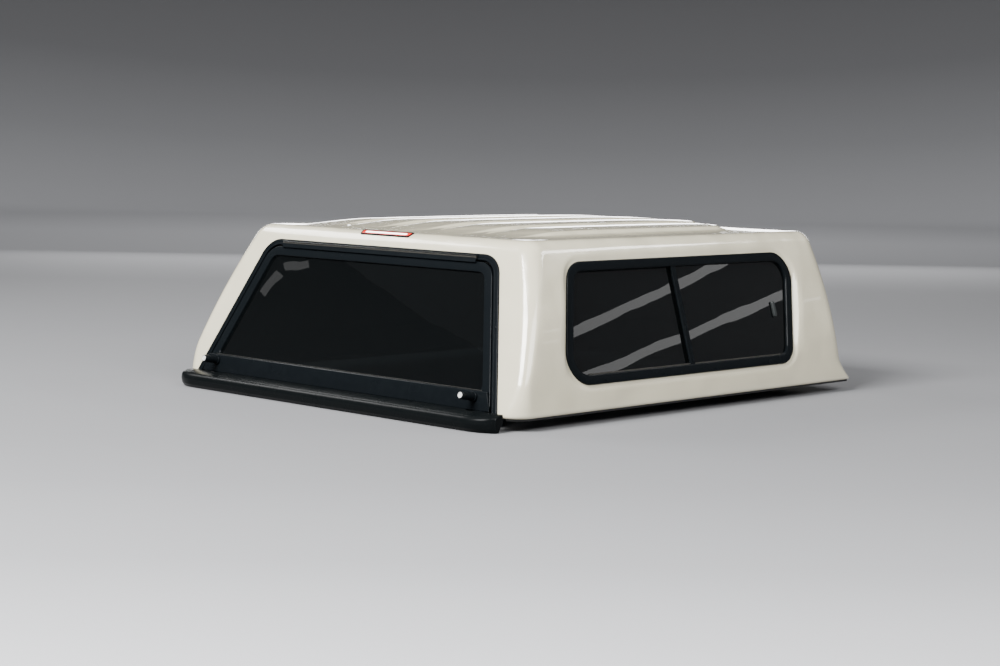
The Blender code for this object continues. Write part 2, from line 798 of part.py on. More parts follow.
def build_door_leaf(rear_face, hinge):
    """Build the door's frame, glass, lower panel and glass trim."""
    lap = DOOR_BAND - GLASS_LAP
    face = SURROUND_PROUD
    rebate = -DOOR_BACK + GLASS_THICKNESS + TOUCH
    profile = [
        (0.0, -DOOR_BACK),
        (0.0, face - EDGE_CHAMFER),
        (EDGE_CHAMFER, face),
        (DOOR_BAND - FRAME_CHAMFER, face),
        (DOOR_BAND, face - EDGE_CHAMFER),
        (DOOR_BAND, rebate),
        (lap, rebate),
        (lap, -DOOR_BACK),
    ]
    mesh = make_mesh("door_frame", sweep_frame(profile, leaf_outline))
    frame = add_object("door_frame", mesh, BLACK_FRAME, rear_face, hinge)

    mesh = make_mesh("door_glass", plate(leaf_outline(lap + TOUCH), rebate - TOUCH, -DOOR_BACK))
    add_object("door_glass", mesh, GLASS, rear_face, hinge)

    low = DOOR_BOTTOM + PANEL_MARGIN
    high = DOOR_BOTTOM + DOOR_BOTTOM_RAIL
    back = face + TOUCH
    shoulder = high - PANEL_CHAMFER
    points = [(back, low), (panel_out(low), low), (panel_out(shoulder), shoulder)]
    points += [(panel_out(shoulder) - PANEL_CHAMFER, high), (back, high)]
    sections = []
    for side in (-1.0, 1.0):
        sections.append(
            [(side * (leaf_half_width(v) - PANEL_MARGIN), -out, v) for out, v in points]
        )
    mesh = make_mesh("door_lower_panel", loft(sections))
    panel = add_object("door_lower_panel", mesh, BLACK_FRAME, rear_face, hinge)

    low = high + TOUCH
    high = low + TRIM_HEIGHT
    front = back + TRIM_PROUD
    points = [(back, low), (front, low), (front, high - SMALL_CHAMFER)]
    points += [(front - SMALL_CHAMFER, high), (back, high)]
    sections = []
    for side in (-1.0, 1.0):
        sections.append([(side * (leaf_half_width(v) - DOOR_BAND), -out, v) for out, v in points])
    mesh = make_mesh("glass_trim", loft(sections))
    add_object("glass_trim", mesh, ALUMINIUM, rear_face, hinge)
    return frame, panel


def lip_section(x):
    """Return the lip's cross-section at a place across the canopy."""
    past = max(0.0, abs(x) - (LIP_HALF_WIDTH - LIP_END_ROUND)) / LIP_END_ROUND
    reach = LIP_REACH * mix(LIP_END_RATIO, 1.0, math.sqrt(max(0.0, 1.0 - past**2)))
    has_tongue = abs(x) <= LIP_TONGUE_HALF_WIDTH
    tongue = LIP_TONGUE if has_tongue else -LIP_CLEARANCE
    inner = -LIP_CLEARANCE / 2.0 if has_tongue else -LIP_CLEARANCE
    foot = -LIP_FOOT_SET if has_tongue else -LIP_CLEARANCE - LIP_FOOT_SET
    points = [
        (tongue, LIP_TONGUE_TOP),
        (tongue, LIP_TONGUE_TOP - LIP_TONGUE),
        (foot, LIP_TONGUE_TOP - LIP_TONGUE - LIP_FOOT_SET),
        *[(-share * reach, -drop * LIP_DROP) for share, drop in LIP_FACE_RATIOS],
        *[(-share * reach, rise * LIP_TOP) for share, rise in LIP_CROWN_RATIOS],
        (inner, LIP_TOP),
        (inner, LIP_TONGUE_TOP),
    ]
    return [(x, y, z) for y, z in points]


def build_lip(canopy, hinge):
    """Build the moulded lip that laps over the tailgate, scooped out under each lock."""
    start = LIP_HALF_WIDTH - LIP_END_ROUND
    steps = [math.sin(math.radians(15.0 * number)) for number in range(1, 7)]
    stations = [0.0, LIP_TONGUE_HALF_WIDTH, LIP_TONGUE_HALF_WIDTH + TONGUE_END, start]
    stations += [start + LIP_END_ROUND * step for step in steps]
    stations.sort()
    places = [-x for x in reversed(stations[1:])] + stations
    mesh = make_mesh("rear_lip", loft([lip_section(x) for x in places]))
    lip = add_object("rear_lip", mesh, BLACK_LIP, canopy, hinge)
    for side in (1, -1):
        bm = bmesh.new()
        centre = (side * LOCK_X, SCOOP_DIAMETER / 2.0 - SCOOP_REACH - LIP_CLEARANCE / 2.0, LIP_TOP)
        bmesh.ops.create_cone(
            bm,
            cap_ends=True,
            segments=32,
            radius1=SCOOP_DIAMETER / 2.0,
            radius2=SCOOP_DIAMETER / 2.0,
            depth=2.0 * SCOOP_DEPTH,
            matrix=Matrix.Translation(centre),
        )
        name = "lip_scoop_right" if side > 0 else "lip_scoop_left"
        cut(lip, cutter(name, make_mesh(name, bm), canopy))


def build_lock(side, rear_face, hinge, frame, panel):
    """Build one of the two barrel locks, with its shaft through the panel to its cam."""
    name = "right" if side > 0 else "left"
    tilt = REAR_RAKE - PANEL_RAKE
    place = (side * LOCK_X, -panel_out(LOCK_HEIGHT), LOCK_HEIGHT)
    axis = empty(f"lock_{name}_axis", place, (tilt, 0.0, 0.0), rear_face)
    axis.parent = hinge
    axis.matrix_parent_inverse = hinge.matrix_world.inverted() @ rear_face.matrix_world
    bpy.context.view_layer.update()

    seat = TOUCH
    inner_ring = LOCK_DIAMETER / 2.0 + SLIDE
    outer_ring = LOCK_COLLAR_DIAMETER / 2.0
    ring_profile = [
        (outer_ring, seat + LOCK_COLLAR_LENGTH - COLLAR_CHAMFER),
        (outer_ring, seat),
        (inner_ring, seat),
        (inner_ring, seat + LOCK_COLLAR_LENGTH),
        (outer_ring - COLLAR_CHAMFER, seat + LOCK_COLLAR_LENGTH),
    ]

    def circle(radius):
        turns = [2.0 * math.pi * number / CIRCLE_STEPS for number in range(CIRCLE_STEPS)]
        return [(radius * math.cos(turn), radius * math.sin(turn)) for turn in turns]

    bm = sweep_frame(ring_profile, circle)
    add_object(f"lock_collar_{name}", make_mesh("lock_collar", bm), BLACK_FRAME, axis)

    barrel_profile = [
        (LOCK_SHAFT / 2.0, seat),
        (LOCK_DIAMETER / 2.0, seat),
        (LOCK_DIAMETER / 2.0, LOCK_LENGTH - BARREL_CHAMFER),
        (LOCK_DIAMETER / 2.0 - BARREL_CHAMFER, LOCK_LENGTH),
    ]
    depth = panel_out(LOCK_HEIGHT) + DOOR_BACK + CAM_STANDOFF
    sections = [circle(LOCK_SHAFT / 2.0)]
    outs = [-depth]
    for radius, out in barrel_profile:
        sections.append(circle(radius))
        outs.append(out)
    rows = [[(x, -out, z) for x, z in section] for section, out in zip(sections, outs)]
    mesh = make_mesh("lock_barrel", loft(rows))
    add_object(f"lock_barrel_{name}", mesh, BLACK_FRAME, axis)

    tip = LOCK_LENGTH + TOUCH
    mesh = make_mesh("lock_key_face", cylinder(KEY_FACE_DIAMETER, tip, tip + KEY_FACE_LENGTH))
    add_object(f"lock_key_face_{name}", mesh, CHROME, axis)

    half = CAM_WIDTH / 2.0
    corners = [(-half, -half), (half, -half), (half, CAM_LENGTH), (-half, CAM_LENGTH)]
    outline = round_polygon(corners, [half * FULL_ROUND] * 4)
    mesh = make_mesh("lock_cam", plate(outline, -depth - TOUCH, -depth - TOUCH - CAM_THICKNESS))
    cam = add_object(f"lock_cam_{name}", mesh, ALUMINIUM, axis)
    cam.rotation_euler = (0.0, side * math.radians(90.0), 0.0)

    mesh = make_mesh(f"lock_bore_{name}", cylinder(LOCK_BORE, seat + BORE_PAST, -depth - BORE_PAST))
    bore = cutter(f"lock_bore_{name}", mesh, axis)
    cut(frame, bore)
    cut(panel, bore)


# Side windows

WINDOW_TILT = math.atan(
    (wall_half_width(WINDOW_BOTTOM) - wall_half_width(WINDOW_TOP)) / WINDOW_RISE
)
WINDOW_HEIGHT = WINDOW_RISE / math.cos(WINDOW_TILT)
WINDOW_MIDDLE_Y = WINDOW_REAR + (WINDOW_LENGTH + WINDOW_LEAN * WINDOW_RISE) / 2.0
WINDOW_MIDDLE_Z = (WINDOW_BOTTOM + WINDOW_TOP) / 2.0
WINDOW_SHEAR = WINDOW_LEAN * WINDOW_RISE / WINDOW_HEIGHT


def window_corner_points():
    """Return the window's corners, x forward and z up, counterclockwise on the right side."""
    half_length = WINDOW_LENGTH / 2.0
    half_height = WINDOW_HEIGHT / 2.0
    lean = WINDOW_SHEAR * half_height
    return [
        (-half_length - lean, -half_height),
        (half_length - lean, -half_height),
        (half_length + lean, half_height),
        (-half_length + lean, half_height),
    ]


WINDOW_RADII = [WINDOW_WIDE_RADIUS, WINDOW_TIGHT_RADIUS, WINDOW_WIDE_RADIUS, WINDOW_TIGHT_RADIUS]


def window_outline(inset):
    """Return the window's outline at an inset."""
    return rounded_outline(window_corner_points(), WINDOW_RADII, inset)


def mirrored(bm, side):
    """Turn a piece drawn for the right side into the left one where side is negative."""
    if side < 0:
        bmesh.ops.scale(bm, vec=(-1.0, 1.0, 1.0), verts=bm.verts)
        bmesh.ops.reverse_faces(bm, faces=bm.faces)
    return bm


def pane_outline(inset, from_x, to_x):
    """Return the window's outline between two upright lines, rounded where it meets its ends."""
    corners = inset_polygon(window_corner_points(), inset)
    low, high = corners[0].y, corners[2].y
    left = [corners[0], corners[3]]
    right = [corners[1], corners[2]]
    radii = [max(radius - inset, MIN_ROUND) for radius in WINDOW_RADII]
    if from_x is not None:
        left = [Vector((from_x, low)), Vector((from_x, high))]
        radii[0] = radii[3] = 0.0
    if to_x is not None:
        right = [Vector((to_x, low)), Vector((to_x, high))]
        radii[1] = radii[2] = 0.0
    return round_polygon([left[0], right[0], right[1], left[1]], radii)


def build_side_window(side, shell, canopy):
    """Build one sliding side window and cut its opening."""
    name = "right" if side > 0 else "left"
    middle = (side * window_half_width(WINDOW_MIDDLE_Z), WINDOW_MIDDLE_Y, WINDOW_MIDDLE_Z)
    frame = empty(f"window_{name}_frame_axis", middle, (-WINDOW_TILT, 0, side * math.pi / 2), canopy)

    def add(piece, bm, finish):
        mesh = make_mesh(piece, mirrored(bm, side))
        return add_object(f"{name}_window_{piece}", mesh, finish, frame)

    profile = [
        (0.0, TOUCH),
        (0.0, WINDOW_PROUD - FRAME_CHAMFER),
        (FRAME_CHAMFER, WINDOW_PROUD),
        (WINDOW_BAND - INNER_CHAMFER, WINDOW_PROUD),
        (WINDOW_BAND, WINDOW_PROUD - INNER_CHAMFER),
        (WINDOW_BAND, -WINDOW_BACK),
        (WINDOW_LAP + SLIDE, -WINDOW_BACK),
        (WINDOW_LAP + SLIDE, TOUCH),
    ]
    add("frame", sweep_frame(profile, window_outline), BLACK_FRAME)

    back = -SHELL_WALL - 2.0 * TOUCH
    profile = [
        (RING_INSET, back),
        (WINDOW_LAP, back),
        (WINDOW_LAP, back - RING_THICKNESS),
        (RING_INSET + RING_CHAMFER, back - RING_THICKNESS),
        (RING_INSET, back - RING_THICKNESS + RING_CHAMFER),
    ]
    add("inner_ring", sweep_frame(profile, window_outline), BLACK_FRAME)

    inset = WINDOW_BAND + TOUCH
    split = MULLION_OFFSET
    half = MULLION_WIDTH / 2.0
    front = PANE_FRONT_OUT
    outline = pane_outline(inset, split - half, None)
    add("front_pane", plate(outline, front, front - PANE_THICKNESS), GLASS)
    rear = front - PANE_SPACING
    outline = pane_outline(inset, None, split + half + PANE_OVERLAP)
    add("rear_pane", plate(outline, rear, rear - PANE_THICKNESS), GLASS)

    corners = inset_polygon(window_corner_points(), inset)
    low, high = corners[0].y, corners[2].y
    bar = [(split - half, low), (split + half, low), (split + half, high), (split - half, high)]
    add("mullion", plate(bar, MULLION_OUT, front + TOUCH), BLACK_FRAME)

    sharp_corner = math.atan2(1.0, WINDOW_SHEAR)
    start = corners[0].x + (WINDOW_WIDE_RADIUS - inset) / math.tan(sharp_corner / 2.0) + TOUCH
    end = corners[1].x - (WINDOW_TIGHT_RADIUS - inset) * math.tan(sharp_corner / 2.0) - TOUCH
    for piece, first, last in (
        ("sill_rail_rear", start, split - half - TOUCH),
        ("sill_rail_front", split + half + TOUCH, end),
    ):
        bar = [(first, low), (last, low), (last, low + SILL_RAIL_HEIGHT)]
        bar.append((first, low + SILL_RAIL_HEIGHT))
        add(piece, plate(bar, SILL_RAIL_OUT, front + TOUCH), ALUMINIUM)

    x = WINDOW_LENGTH / 2.0 - LATCH_FROM_FRONT
    z = -LATCH_DROP / math.cos(WINDOW_TILT)
    half_w = LATCH_WIDTH / 2.0
    half_l = LATCH_LENGTH / 2.0
    corners = [(x - half_w, z - half_l), (x + half_w, z - half_l)]
    corners += [(x + half_w, z + half_l), (x - half_w, z + half_l)]
    outline = round_polygon(corners, [half_w * FULL_ROUND] * 4)
    add("latch", plate(outline, front + TOUCH + LATCH_DEPTH, front + TOUCH), BLACK_FRAME)

    bm = mirrored(plate(window_outline(WINDOW_LAP), CUT_MARGIN, -CUT_MARGIN), side)
    tool = make_mesh(f"window_opening_{name}", bm)
    cut(shell, cutter(f"window_opening_{name}", tool, frame))


def build_cab_window(shell, canopy):
    """Build the fixed window to the cab and cut its opening."""
    tilt = math.atan(FRONT_LEAN_BACK / ROOF_HEIGHT)
    middle_z = (CAB_WINDOW_BOTTOM + CAB_WINDOW_TOP) / 2.0
    place = (0.0, front_y(middle_z), middle_z)
    frame = empty("cab_window_axis", place, (-tilt, 0.0, math.pi), canopy)
    half_w = CAB_WINDOW_WIDTH / 2.0
    half_h = (CAB_WINDOW_TOP - CAB_WINDOW_BOTTOM) / math.cos(tilt) / 2.0
    corners = [(-half_w, -half_h), (half_w, -half_h), (half_w, half_h), (-half_w, half_h)]
    radii = [CAB_WINDOW_RADIUS] * 4

    def outline(inset):
        return rounded_outline(corners, radii, inset)

    profile = [
        (0.0, TOUCH),
        (0.0, WINDOW_PROUD - FRAME_CHAMFER),
        (FRAME_CHAMFER, WINDOW_PROUD),
        (CAB_WINDOW_BAND - INNER_CHAMFER, WINDOW_PROUD),
        (CAB_WINDOW_BAND, WINDOW_PROUD - INNER_CHAMFER),
        (CAB_WINDOW_BAND, -WINDOW_BACK),
        (WINDOW_LAP + SLIDE, -WINDOW_BACK),
        (WINDOW_LAP + SLIDE, TOUCH),
    ]
    mesh = make_mesh("cab_window_frame", sweep_frame(profile, outline))
    add_object("cab_window_frame", mesh, BLACK_FRAME, frame)
    pane = plate(outline(CAB_WINDOW_BAND + TOUCH), PANE_FRONT_OUT, PANE_FRONT_OUT - PANE_THICKNESS)
    add_object("cab_window_glass", make_mesh("cab_window_glass", pane), GLASS, frame)
    tool = make_mesh("cab_opening", plate(outline(WINDOW_LAP), CUT_MARGIN, -CUT_MARGIN))
    cut(shell, cutter("cab_opening", tool, frame))


def build_brake_light(shell, canopy):
    """Build the high brake light in the rear roof edge and cut its recess."""
    z = WALL_TOP + ROOF_FILLET * math.sin(LIGHT_AROUND)
    y = rear_y(z) + ROOF_FILLET * (1.0 - math.cos(LIGHT_AROUND))
    run = math.cos(LIGHT_AROUND) * math.tan(REAR_RAKE) + math.sin(LIGHT_AROUND)
    lean = math.atan2(run, math.cos(LIGHT_AROUND))
    frame = empty("brake_light_axis", (0.0, y, z), (-lean, 0.0, 0.0), canopy)

    def outline(inset):
        half = LIGHT_LENGTH / 2.0
        high = LIGHT_HEIGHT / 2.0
        corners = [(-half + LIGHT_SLANT, -high), (half - LIGHT_SLANT, -high)]
        corners += [(half, high), (-half, high)]
        return rounded_outline(corners, [LIGHT_CORNER] * 4, inset)

    profile = [
        (SLIDE, -LIGHT_DEPTH),
        (SLIDE, LIGHT_PROUD - SMALL_CHAMFER),
        (SLIDE + SMALL_CHAMFER, LIGHT_PROUD),
        (LIGHT_RIM, LIGHT_PROUD),
        (LIGHT_RIM, -LIGHT_DEPTH + LIGHT_FLOOR),
    ]
    bm = bmesh.new()
    rows = []
    for inset, out in profile:
        rows.append([bm.verts.new((x, -out, z)) for x, z in outline(inset)])
    for row, following in zip(rows, rows[1:]):
        for step in range(len(row)):
            after = (step + 1) % len(row)
            bm.faces.new((row[step], row[after], following[after], following[step]))
    bm.faces.new(list(reversed(rows[0])))
    bm.faces.new(rows[-1])
    mesh = make_mesh("brake_light_housing", bm)
    add_object("brake_light_housing", mesh, BLACK_FRAME, frame)
    seat = -LIGHT_DEPTH + LIGHT_FLOOR + TOUCH
    lens = plate(outline(LIGHT_RIM + TOUCH), LIGHT_PROUD - SLIDE, seat)
    add_object("brake_light_lens", make_mesh("brake_light_lens", lens), BRAKE_RED, frame)
    tool = make_mesh("light_recess", plate(outline(0.0), CUT_MARGIN, -CUT_MARGIN))
    cut(shell, cutter("light_recess", tool, frame))


def main():
    """Build the whole canopy."""
    clear_scene()
    origin_y = -(BASE_LENGTH - LIP_REACH) / 2.0
    canopy = empty("canopy", (0.0, origin_y, LIP_DROP))
    rear_face = empty("rear_face", rotation=(-REAR_RAKE, 0.0, 0.0), parent=canopy)
    hinge = empty("rear_door_hinge", (0.0, -HINGE_OUT, HINGE_UP), parent=rear_face)
    shell = build_shell(canopy)
    build_base_seals(canopy)
    build_surround(shell, rear_face)
    build_surround_seal(rear_face)
    build_hinge(rear_face, hinge)
    frame, panel = build_door_leaf(rear_face, hinge)
    build_lip(canopy, hinge)
    for side in (1, -1):
        build_lock(side, rear_face, hinge, frame, panel)
        build_side_window(side, shell, canopy)
    build_cab_window(shell, canopy)
    build_brake_light(shell, canopy)


main()
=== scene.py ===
"""Looks of the pickup truck canopy: moulded skin, frames, glazing, finishes, light and camera.

World axes are those of the CAD model: +X is the vehicle's right, +Y points to the cab and
+Z is up. The canopy frame inside it starts under the middle of the foot of the rear face,
level with the tub rail. Flat units (rear door, windows, brake light) are drawn in their own
plane: x runs across, z runs up, and "out" is the distance towards the outside, local -y.
"""

from __future__ import annotations

import json
import logging
import math
from collections.abc import Callable, Sequence
from dataclasses import dataclass, field
from enum import Enum

import bmesh
import bpy
import numpy as np
from mathutils import Matrix, Vector

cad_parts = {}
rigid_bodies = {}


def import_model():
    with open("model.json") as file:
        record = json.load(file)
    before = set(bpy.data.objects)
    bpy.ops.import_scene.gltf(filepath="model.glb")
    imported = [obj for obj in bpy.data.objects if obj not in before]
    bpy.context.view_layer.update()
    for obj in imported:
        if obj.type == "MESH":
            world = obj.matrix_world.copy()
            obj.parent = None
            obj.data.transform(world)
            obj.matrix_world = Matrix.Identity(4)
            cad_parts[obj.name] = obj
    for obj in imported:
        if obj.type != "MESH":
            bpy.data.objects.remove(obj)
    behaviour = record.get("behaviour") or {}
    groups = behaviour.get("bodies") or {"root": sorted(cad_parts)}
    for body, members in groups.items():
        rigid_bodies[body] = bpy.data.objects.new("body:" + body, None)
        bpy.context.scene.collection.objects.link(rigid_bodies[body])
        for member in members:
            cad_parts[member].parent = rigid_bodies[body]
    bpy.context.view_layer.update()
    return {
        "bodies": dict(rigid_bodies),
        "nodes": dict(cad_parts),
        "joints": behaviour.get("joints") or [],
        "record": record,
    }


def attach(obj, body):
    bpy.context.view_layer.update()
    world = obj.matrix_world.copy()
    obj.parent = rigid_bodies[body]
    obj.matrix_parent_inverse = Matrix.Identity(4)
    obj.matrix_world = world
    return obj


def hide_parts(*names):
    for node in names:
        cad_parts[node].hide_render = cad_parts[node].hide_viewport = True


LOG = logging.getLogger("canopy")

Colour = tuple[float, float, float]
Point = tuple[float, float]
Spot = tuple[float, float, float]
OutlineAt = Callable[[float], list[Point]]
Socket = bpy.types.NodeSocket

SAME_POINT = 1e-6
WHOLE_EDGE = 1.0
EDGE_STEPS = 4
BEVEL_ANGLE = math.radians(35.0)
CREASE = 38.0
FINE_EDGE = 0.0004
CAD_EDGE = 0.0005
NEARLY_ROUND = 0.9
LEAST_ROUND = 0.001


class Slot(Enum):
    """Material slots of the record that the pieces take their finish from."""

    SHELL = "shell_paint"
    FRAME = "black_frame"
    LIP = "black_lip"
    GLASS = "tinted_glass"
    RUBBER = "rubber"
    ALUMINIUM = "aluminium"
    CHROME = "chrome"
    LENS = "brake_red"


class Body(Enum):
    """Bodies of the model that the pieces move with."""

    CANOPY = "canopy"
    DOOR = "rear_door"
    LOCK_LEFT = "lock_left"
    LOCK_RIGHT = "lock_right"


class Side(Enum):
    """The two sides of the vehicle, by the sign of x."""

    RIGHT = 1
    LEFT = -1

    @property
    def word(self) -> str:
        """Return the side's name as the nodes spell it."""
        return self.name.lower()

    @property
    def lock_body(self) -> Body:
        """Return the body that turns with this side's lock."""
        return Body.LOCK_RIGHT if self is Side.RIGHT else Body.LOCK_LEFT


# Plane geometry


def mix(a: float, b: float, share: float) -> float:
    """Return the value that lies share of the way from a to b."""
    return a + (b - a) * share


def smooth(share: np.ndarray) -> np.ndarray:
    """Return an eased 0 to 1 step of a share, clipped at both ends."""
    held = np.clip(share, 0.0, 1.0)
    return held * held * (3.0 - 2.0 * held)


def quarter(steps: int = EDGE_STEPS) -> list[float]:
    """Return the angles of a quarter turn, from 0 in equal steps."""
    return [math.radians(90.0 * step / steps) for step in range(steps + 1)]


def box(x: float, z: float, half: float, up: float) -> list[Point]:
    """Return the corners of an upright rectangle about its middle, counterclockwise."""
    return [(x - half, z - up), (x + half, z - up), (x + half, z + up), (x - half, z + up)]


def inset_polygon(
    corners: Sequence[Point], inset: float, factors: Sequence[float] | None = None
) -> list[Vector]:
    """Move each edge of a counterclockwise polygon inwards.

    Args:
        corners: The polygon's corners.
        inset: The distance that the edges move.
        factors: A factor on the distance for each edge, or None for 1.

    Returns:
        The corners of the smaller polygon.
    """
    factors = factors or [1.0] * len(corners)
    points = [Vector(corner) for corner in corners]
    lines = []
    for start, end, factor in zip(points, [*points[1:], points[0]], factors):
        along = (end - start).normalized()
        lines.append((start + Vector((-along.y, along.x)) * inset * factor, along))
    moved = []
    for (p, d), (q, e) in zip([lines[-1], *lines], lines):
        gap = q - p
        moved.append(p + d * (gap.x * e.y - gap.y * e.x) / (d.x * e.y - d.y * e.x))
    return moved


def round_polygon(
    corners: Sequence[Point], radii: Sequence[float], steps: int = 4, reach: float = 0.48
) -> list[Vector]:
    """Replace the corners of a polygon by arcs that meet both edges smoothly.

    Args:
        corners: The polygon's corners.
        radii: The radius at each corner, 0 for a sharp one.
        steps: The number of stretches in each arc.
        reach: The largest share of an edge that an arc may take up.

    Returns:
        The points of the rounded outline.
    """
    points = [Vector(corner) for corner in corners]
    outline = []
    neighbours = zip([points[-1], *points], points, [*points[1:], points[0]], radii)
    for before, corner, after, radius in neighbours:
        if radius <= 0.0:
            outline.append(corner)
            continue
        back, ahead = before - corner, after - corner
        if min(back.length, ahead.length) < SAME_POINT:
            outline += [corner] * (steps + 1)
            continue
        slope = math.tan(back.angle(ahead) / 2.0)
        run = min(radius / slope, reach * min(back.length, ahead.length))
        back.normalize()
        ahead.normalize()
        centre = corner + (back + ahead).normalized() * run / math.cos(math.atan(slope))
        first = corner + back * run - centre
        turn = first.angle_signed(corner + ahead * run - centre)
        for step in range(steps + 1):
            outline.append(centre + Matrix.Rotation(-turn * step / steps, 2) @ first)
    return outline


@dataclass(frozen=True)
class Outline:
    """A rounded polygon that can be drawn at any inset with like points."""

    corners: Sequence[Point]
    radii: Sequence[float]
    factors: Sequence[float] | None = None
    least: float = 0.004
    steps: int = 16

    def at(self, inset: float) -> list[Point]:
        """Return the outline's points at an inset.

        Args:
            inset: The distance that the outline is set in.

        Returns:
            The points, always the same number of them.
        """
        inner = inset_polygon(self.corners, inset, self.factors)
        kept = [max(radius - inset, self.least) if radius > 0.0 else 0.0 for radius in self.radii]
        return [tuple(point) for point in round_polygon(inner, kept, self.steps, WHOLE_EDGE)]


def circle(radius: float, steps: int = 48) -> list[Point]:
    """Return the points of a circle."""
    turns = [2.0 * math.pi * step / steps for step in range(steps)]
    return [(radius * math.cos(turn), radius * math.sin(turn)) for turn in turns]


def rounded(rows: Sequence[tuple[float, float, float]], steps: int) -> list[Vector]:
    """Round a polygon that is given as rows of two coordinates and a corner radius."""
    return round_polygon([row[:2] for row in rows], [row[2] for row in rows], steps)


def taper(low: float, high: float, bottom: float, top: float) -> list[Point]:
    """Return the corners of a shape with one half width at its bottom and one at its top."""
    return [(low, bottom), (high, top), (-high, top), (-low, bottom)]


def stations(stops: Sequence[float], counts: Sequence[int]) -> list[float]:
    """Divide the stretches between stops into equal steps.

    Args:
        stops: The ends of the stretches.
        counts: The number of steps in each stretch.

    Returns:
        Every place from the first stop to the last.
    """
    places = [stops[0]]
    for first, last, count in zip(stops, stops[1:], counts):
        places += [mix(first, last, step / count) for step in range(1, count + 1)]
    return places


def outline_distance(across: np.ndarray, up: np.ndarray, outline: Sequence[Point]) -> np.ndarray:
    """Measure the signed distance of points to a closed outline, negative inside it.

    Args:
        across: The points' places across.
        up: The points' places up.
        outline: The outline's points, counterclockwise.

    Returns:
        One distance for each point.
    """
    nearest = np.full(across.shape, np.inf)
    inside = np.zeros(across.shape, dtype=bool)
    for (ax, ay), (bx, by) in zip(outline, [*outline[1:], outline[0]]):
        length = (bx - ax) ** 2 + (by - ay) ** 2
        share = np.clip(((across - ax) * (bx - ax) + (up - ay) * (by - ay)) / length, 0.0, 1.0)
        gap = np.hypot(across - ax - share * (bx - ax), up - ay - share * (by - ay))
        nearest = np.minimum(nearest, gap)
        rise = by - ay if by != ay else 1.0
        inside ^= ((ay > up) != (by > up)) & (across < ax + (bx - ax) * (up - ay) / rise)
    return np.where(inside, -nearest, nearest)


# Mesh making


def quads(rows: Sequence[Sequence]) -> list[tuple]:
    """Return the four-sided faces between neighbouring rows of vertices or vertex numbers."""
    pairs = zip(rows, rows[1:])
    return [(a[i], a[i + 1], b[i + 1], b[i]) for a, b in pairs for i in range(len(a) - 1)]


def bridge(bm: bmesh.types.BMesh, rows: Sequence[Sequence], closed: bool = True) -> None:
    """Skin rows of vertices, each of which runs back to its own start where it is closed."""
    for face in quads([[*row, row[0]] for row in rows] if closed else rows):
        bm.faces.new(face)


def loft(sections: Sequence[Sequence[Sequence[float]]]) -> bmesh.types.BMesh:
    """Skin a row of like closed sections and close both ends.

    Args:
        sections: The points of each section.

    Returns:
        The mesh.
    """
    bm = bmesh.new()
    rows = [[bm.verts.new(point) for point in section] for section in sections]
    bridge(bm, rows)
    bm.faces.new(rows[0])
    bm.faces.new(list(reversed(rows[-1])))
    return bm


def stack(outline_at: OutlineAt, steps: Sequence[Point]) -> bmesh.types.BMesh:
    """Loft an outline through (inset, out) steps and close both ends."""
    return loft([[(x, -out, z) for x, z in outline_at(inset)] for inset, out in steps])


def sweep(profile: Sequence[Point], outline_at: OutlineAt, closed: bool = True) -> bmesh.types.BMesh:
    """Sweep a closed profile round an outline.

    Args:
        profile: The (inset, out) points of the profile.
        outline_at: Gives the outline's points at an inset.
        closed: Whether the outline runs back to its own start.

    Returns:
        The mesh, with flat ends where the outline is open.
    """
    bm = bmesh.new()
    rows = [[bm.verts.new((x, -out, z)) for x, z in outline_at(inset)] for inset, out in profile]
    bridge(bm, [*rows, rows[0]], closed)
    if not closed:
        bm.faces.new([row[0] for row in rows])
        bm.faces.new([row[-1] for row in reversed(rows)])
    return bm


def slab(outline_at: OutlineAt, front: float, back: float, edge: float) -> bmesh.types.BMesh:
    """Make a flat plate between two out values, with the edge of its front rounded over."""
    rounding = [(edge * (1.0 - math.cos(t)), front - edge * (1.0 - math.sin(t))) for t in quarter()]
    return stack(outline_at, [(0.0, back), *rounding])


def lathe(profile: Sequence[Point], steps: int = 48) -> bmesh.types.BMesh:
    """Turn a row of (radius, out) points about the local y axis and close both ends."""
    return stack(lambda radius: circle(radius, steps), profile)


def prism(outline: Sequence[Point], front: float, back: float) -> bmesh.types.BMesh:
    """Make a straight solid of an outline between two out values."""
    return stack(lambda _: outline, [(0.0, front), (0.0, back)])


def finish_mesh(name: str, bm: bmesh.types.BMesh, crease: float = CREASE) -> bpy.types.Mesh:
    """Turn a construction into mesh data with outward faces, smooth up to an angle.

    Args:
        name: The mesh's name.
        bm: The construction, which is used up.
        crease: The angle in degrees from which an edge stays sharp.

    Returns:
        The mesh data.
    """
    bmesh.ops.remove_doubles(bm, verts=bm.verts, dist=SAME_POINT)
    bmesh.ops.recalc_face_normals(bm, faces=bm.faces)
    data = bpy.data.meshes.new(name)
    bm.to_mesh(data)
    bm.free()
    shade(data, crease)
    return data


def shade(data: bpy.types.Mesh, crease: float) -> None:
    """Shade a mesh smooth, but for its edges past an angle in degrees."""
    data.shade_smooth()
    data.set_sharp_from_angle(angle=math.radians(crease))


def mirrored(bm: bmesh.types.BMesh, side: Side) -> bmesh.types.BMesh:
    """Turn a piece drawn for the right side into the left one where that is asked.

    Args:
        bm: The construction, drawn for the right side.
        side: The side that it is for.

    Returns:
        The same construction.
    """
    if side is Side.LEFT:
        bmesh.ops.scale(bm, vec=(-1.0, 1.0, 1.0), verts=bm.verts)
        bmesh.ops.reverse_faces(bm, faces=bm.faces)
    return bm


def place_object(name: str, data: bpy.types.ID, place: Matrix) -> bpy.types.Object:
    """Make an object of a mesh, light or camera and put it in the scene.

    Args:
        name: The object's name.
        data: What it shows.
        place: Its world matrix.

    Returns:
        The object.
    """
    made = bpy.data.objects.new(name, data)
    bpy.context.scene.collection.objects.link(made)
    made.matrix_world = place
    return made


